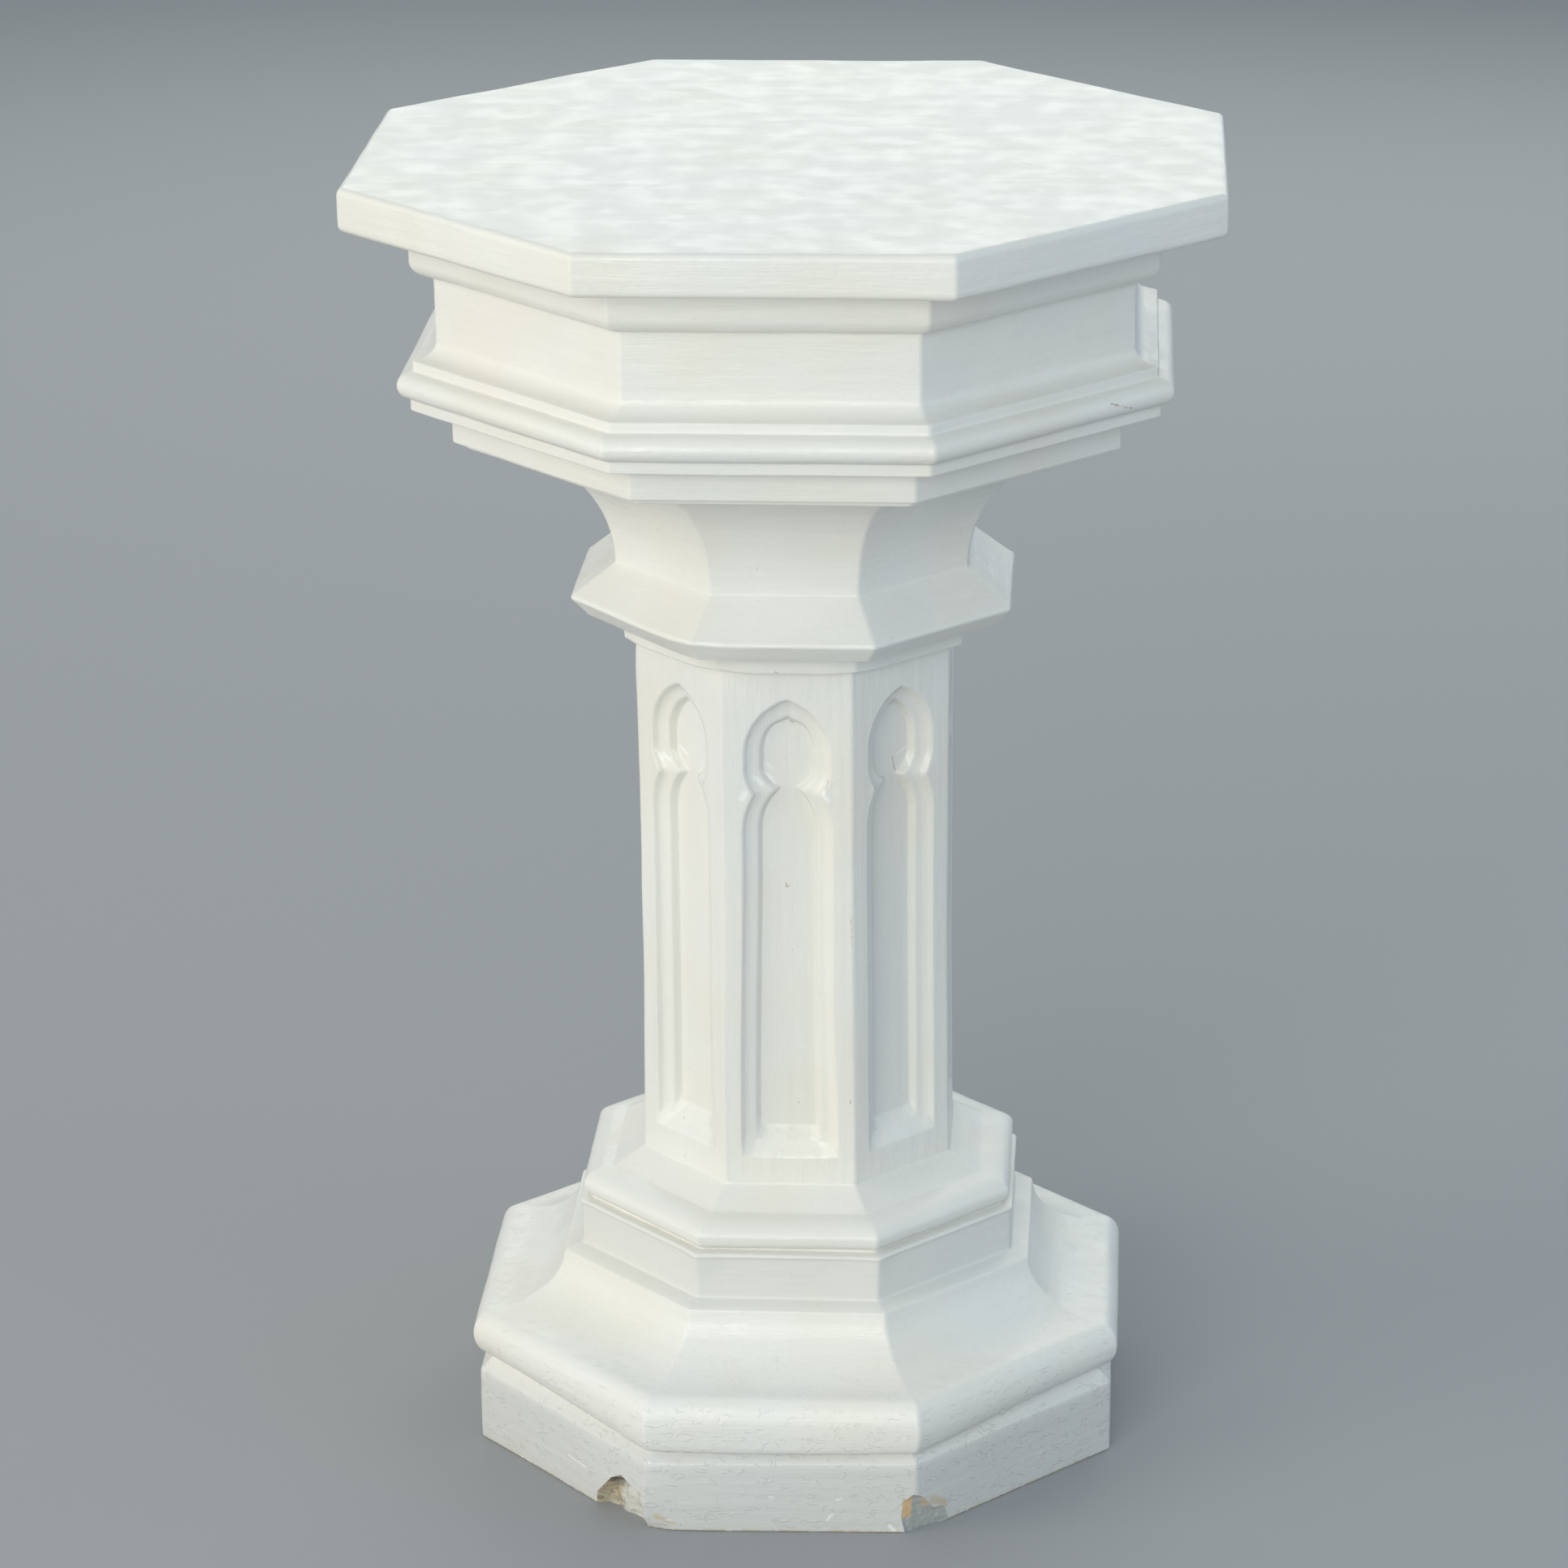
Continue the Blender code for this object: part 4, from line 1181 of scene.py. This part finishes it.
def clay_material():
    """Coarse clay where the foot is broken, part of it painted over."""
    material, tree, place, shader = new_material("broken_clay")
    repaint, chip, hollow_shade = (part_of(tree, name) for name in ("repaint", "chip", "hollow_shade"))
    off_chip = minus(tree, 1.0, chip)
    patches = mottle(tree, place, 0.0100, 0.50, 0.10, 1.0)
    grains = use_group(tree, SPECKS, place, cell_size=0.0016, speck_size=0.32, share=0.35)
    stained = times(tree, mottle(tree, place, 0.0060, 0.36, 0.07, 3.0), off_chip)
    ragged_place = ragged(tree, place, 0.0040, 0.0012)
    splits = use_group(tree, CRAZING, ragged_place, cell_size=0.0075, line_width=0.05)
    splits = times(tree, splits, compute(tree, "SUBTRACT", 0.5, most(tree, chip, repaint), clamp=True))
    covered = times(tree, repaint, mottle(tree, place, 0.0070, 0.86, 0.10, 2.0))
    covered = times(tree, covered, minus(tree, 1.0, hollow_shade))
    coats = (
        (patches, 0.70, OLIVE_CLAY_COLOUR),
        (chip, 1.00, CHIP_CLAY_COLOUR),
        (grains, 0.35, PALE_AND_GLINT_COLOUR),
        (stained, 0.55, DARK_CLAY_AND_SHADE_COLOUR),
        # Painted shade: the deepest hollow of the break is darkened in colour.
        (hollow_shade, 0.95, DARK_CLAY_AND_SHADE_COLOUR),
        (covered, 1.00, mixed(tree, chip, REPAINT_COLOUR, CHIP_PAINT_COLOUR)),
        (marks_mask(tree, ragged_place, CLAY_FLAKES), 1.00, REPAINT_COLOUR),
        (marks_mask(tree, ragged_place, CLAY_CRACKS), 1.00, DARK_CLAY_AND_SHADE_COLOUR),
        (splits, 0.65, DARK_CLAY_AND_SHADE_COLOUR),
    )
    tree.links.new(coated(tree, CLAY_COLOUR, coats), shader.inputs["Base Color"])
    tree.links.new(minus(tree, CLAY_ROUGHNESS, times(tree, covered, 0.50)), shader.inputs["Roughness"])
    grit = noise_value(tree, place, 900.0, 4.0, 4.0)
    grit = times(tree, grit, minus(tree, 1.0, times(tree, chip, 0.75)))
    bumped(tree, minus(tree, grit, splits), 0.0005, shader)
    return material


# The creases get painted shade, blotched by a little grime, and the arrises are rubbed. Some of the broken
# clay is painted over, and its deepest hollow gets painted shade. The mesh carries all this for its two
# finishes.
CURVE_WHERE_FULL = 900.0
CURVE_WHERE_NONE = 220.0
BROKEN_BELOW = 0.04
BREAK_REACH = (-0.01, 0.06)
SMEAR_REPAINT = 0.35


def write_values(mesh, name, values):
    """Stores one number for each vertex under this name."""
    attribute = mesh.attributes.new(name, "FLOAT", "POINT")
    attribute.data.foreach_set("value", values.astype(np.float32))


def note_curve(mesh, places, normals):
    """Stores how hollow and how sharp the surface is."""
    count = len(places)
    ends = np.empty(2 * len(mesh.edges), np.int32)
    mesh.edges.foreach_get("vertices", ends)
    first, second = ends.reshape(-1, 2).T
    run = places[second] - places[first]
    length = np.maximum((run**2).sum(axis=1), 1e-9)
    shared = np.maximum(np.bincount(ends, minlength=count), 1)

    def around(at_first, at_second):
        total = np.bincount(first, at_first, count) + np.bincount(second, at_second, count)
        return total / shared

    curve = around((run * normals[first]).sum(axis=1) / length, -(run * normals[second]).sum(axis=1) / length)
    curve = 0.5 * curve + 0.5 * around(curve[second], curve[first])
    span = CURVE_WHERE_FULL - CURVE_WHERE_NONE
    write_values(mesh, "crease", np.clip((curve - CURVE_WHERE_NONE) / span, 0.0, 1.0))
    write_values(mesh, "arris", np.clip((-curve - CURVE_WHERE_NONE) / span, 0.0, 1.0))


def note_breaks(mesh, places):
    """Stores which broken clay is painted over, lies in the hollow given painted shade, or is the sheared
    corner's.
    """
    low = places[:, 2] < BROKEN_BELOW
    from_break = [FOOT_BREAK_FRAME.inverted() @ Vector(place) for place in places[low]]
    from_corner = [CHIP_FRAME.inverted() @ Vector(place) for place in places[low]]
    along, height, _ = np.array(from_break).T
    beside, up, _ = np.array(from_corner).T
    middle, level, wide, high, _ = BREAK_RECESS
    dark = np.exp(-(((along - middle) / wide) ** 2) - ((height - level) / high) ** 2)
    near = (along > BREAK_REACH[0]) & (along < BREAK_REACH[1])
    by_break = np.clip((REPAINTED_WITHIN - along) / REPAINT_EDGE + 0.5, 0.0, 1.0)
    on_chip = (np.abs(beside) < CHIP_WIDTH) & (along < 0.0)
    bare = (beside < CHIP_BARE_LEFT) & (up > CHIP_BARE_ABOVE)
    smeared = (beside > CHIP_SMEAR_FROM) & (beside < CHIP_SMEAR_TO) & (up > CHIP_SMEAR_ABOVE)
    by_chip = np.where(bare, 0.0, np.where(smeared, SMEAR_REPAINT, 1.0))
    repaint = np.where(on_chip, by_chip, by_break)
    # The hollow's painted shade fades out from its middle.
    hollow_shade = np.where(near, dark, 0.0)
    for name, values in (("chip", on_chip), ("hollow_shade", hollow_shade), ("repaint", repaint)):
        everywhere = np.zeros(len(places))
        everywhere[low] = values
        write_values(mesh, name, everywhere)


def note_wear(mesh):
    """Stores on the mesh what its materials read."""
    count = len(mesh.vertices)
    places, normals = np.empty(3 * count), np.empty(3 * count, np.float32)
    mesh.vertices.foreach_get("co", places)
    mesh.vertex_normals.foreach_get("vector", normals)
    places = places.reshape(-1, 3)
    note_curve(mesh, places, normals.reshape(-1, 3))
    note_breaks(mesh, places)


def split_finishes(mesh):
    """Keeps the edge between paint and broken clay sharp."""
    sides = {}
    for face in mesh.polygons:
        for key in face.edge_keys:
            sides.setdefault(key, set()).add(face.material_index)
    sharp = [len(sides.get(edge.key, ())) > 1 for edge in mesh.edges]
    attribute = mesh.attributes.get("sharp_edge") or mesh.attributes.new("sharp_edge", "BOOLEAN", "EDGE")
    attribute.data.foreach_set("value", sharp)


def even_shading(piece):
    """Lets the broad faces lead the shading, so that no crease darkens the flat beside it."""
    weighted = piece.modifiers.new("even_shading", "WEIGHTED_NORMAL")
    weighted.keep_sharp = True
    made_plain(piece)


FOOT_BREAK_FRAME = frame_at(math.radians(-135), PLINTH_APOTHEM, -1, PLINTH_APOTHEM * FACE_TAN)
FOOT_BREAK_REACH = (-0.004, 0.052, 0.034)
CHIP_FRAME = frame_at(math.radians(-67.5), PLINTH_APOTHEM * math.hypot(1, FACE_TAN), 1)
CHIP_REACH = (-0.015, 0.033, 0.032)
PAINT = paint_material()
CLAY = clay_material()

casting = linked("painted_casting", one_face_mesh())
run_tree(
    casting,
    octagon_tree(),
    {
        "Faces": FACES,
        "Weld Distance": WELD_DISTANCE,
        "Wave Length": WAVE_LENGTH,
        "Wave Height": WAVE_HEIGHT,
        "Ripple Length": RIPPLE_LENGTH,
        "Ripple Height": RIPPLE_HEIGHT,
        "Level Below": LEVEL_BELOW,
        "Seed": WAVE_SEED,
        "Paint": PAINT,
    },
)
take_away(casting, break_cutter("foot_break", FOOT_BREAK_FRAME, FOOT_BREAK_REACH, break_depth, CLAY))
take_away(casting, break_cutter("corner_chip", CHIP_FRAME, CHIP_REACH, chip_depth, CLAY))
move_by_hand(casting.data)
casting.data.shade_smooth()
split_finishes(casting.data)
note_wear(casting.data)
even_shading(casting)
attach(casting, "root")
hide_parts("pedestal_column")


# The floor is a plain studio floor in one grey, wide enough to fill the picture. The pedestal stands on it.
FLOOR_COLOUR = (0.33, 0.335, 0.345, 1.0)
FLOOR_ROUGHNESS = 0.85
HALF_FLOOR = 15.0

floor_corners = [(-HALF_FLOOR, -HALF_FLOOR, 0), (HALF_FLOOR, -HALF_FLOOR, 0)]
floor_corners += [(HALF_FLOOR, HALF_FLOOR, 0), (-HALF_FLOOR, HALF_FLOOR, 0)]
floor_mesh = bpy.data.meshes.new("studio_floor")
floor_mesh.from_pydata(floor_corners, [], [(0, 1, 2, 3)])
floor = linked("studio_floor", floor_mesh)
floor_material = bpy.data.materials.new("studio_floor")
floor_material.use_nodes = True
floor_shader = floor_material.node_tree.nodes["Principled BSDF"]
floor_shader.inputs["Base Color"].default_value = FLOOR_COLOUR
floor_shader.inputs["Roughness"].default_value = FLOOR_ROUGHNESS
floor_mesh.materials.append(floor_material)


# The light is soft daylight, strong and warm from the left and front, cool on the right and pale behind.
# Each row is a name, a width and height, a power, a colour, a place and the height on the pedestal it faces.
LIGHTS = (
    ("sky_above", (3.6, 3.6), 6.0, (1.0, 0.94, 0.86), (-0.4, -0.3, 4.0), 0.4),
    ("window_left", (2.0, 2.6), 42.0, (1.0, 0.88, 0.82), (-3.2, -1.4, 1.5), 0.4),
    ("window_front", (2.4, 2.0), 84.0, (0.98, 1.0, 0.92), (-1.2, -3.9, 1.5), 0.4),
    ("sky_right", (2.0, 2.6), 17.5, (0.55, 0.66, 1.0), (3.2, -1.4, 1.5), 0.4),
    ("sky_behind", (4.0, 2.4), 48.0, (1.0, 0.99, 0.92), (0.6, 3.6, 2.2), 0.5),
    ("sky_behind_right", (2.0, 2.0), 10.0, (0.70, 0.82, 1.0), (3.2, 1.2, 1.8), 0.5),
    ("sky_behind_left", (2.0, 2.0), 9.0, (1.0, 0.98, 0.93), (-2.2, 2.7, 1.8), 0.5),
)
SKY_COLOUR = (0.79, 0.93, 1.0, 1.0)
SKY_STRENGTH = 0.52

for name, size, power, colour, place, aim in LIGHTS:
    light = bpy.data.lights.new(name, "AREA")
    light.shape = "RECTANGLE"
    light.size, light.size_y = size
    light.energy = power
    light.color = colour
    lamp = linked(name, light)
    lamp.location = place
    lamp.rotation_euler = (Vector((0.0, 0.0, aim)) - Vector(place)).to_track_quat("-Z", "Y").to_euler()
world = bpy.data.worlds.new("sky")
world.use_nodes = True
sky = world.node_tree.nodes["Background"]
sky.inputs["Color"].default_value = SKY_COLOUR
sky.inputs["Strength"].default_value = SKY_STRENGTH
bpy.context.scene.world = world
bpy.context.scene.view_settings.view_transform = "Standard"


# The camera stands before the front face and looks down on it, a little to the right of square.
CAMERA_DISTANCE = 2.9155
CAMERA_HEIGHT = 1.4456
CAMERA_AROUND = math.radians(3.753)
CAMERA_PAN = math.radians(-0.159)
CAMERA_PITCH = math.radians(19.809)
CAMERA_ROLL = math.radians(-0.575)
FOCAL_LENGTH_PIXELS = 6429.1
PICTURE_PIXELS = 1932.0
SENSOR_MM = 36.0

level_forward = Vector((math.sin(CAMERA_PAN), math.cos(CAMERA_PAN), 0.0))
forward = math.cos(CAMERA_PITCH) * level_forward - math.sin(CAMERA_PITCH) * Vector((0.0, 0.0, 1.0))
level_right = Vector((math.cos(CAMERA_PAN), -math.sin(CAMERA_PAN), 0.0))
level_up = level_right.cross(forward)
right = math.cos(CAMERA_ROLL) * level_right + math.sin(CAMERA_ROLL) * level_up
up = math.cos(CAMERA_ROLL) * level_up - math.sin(CAMERA_ROLL) * level_right
stand = Matrix((right, up, -forward)).transposed().to_4x4()
stand.translation = (0.0, -CAMERA_DISTANCE, CAMERA_HEIGHT)
camera_data = bpy.data.cameras.new("photographer")
camera_data.sensor_width = SENSOR_MM
camera_data.lens = FOCAL_LENGTH_PIXELS / PICTURE_PIXELS * SENSOR_MM
camera = linked("photographer", camera_data)
camera.matrix_world = Matrix.Rotation(CAMERA_AROUND, 4, "Z") @ stand
bpy.context.scene.camera = camera
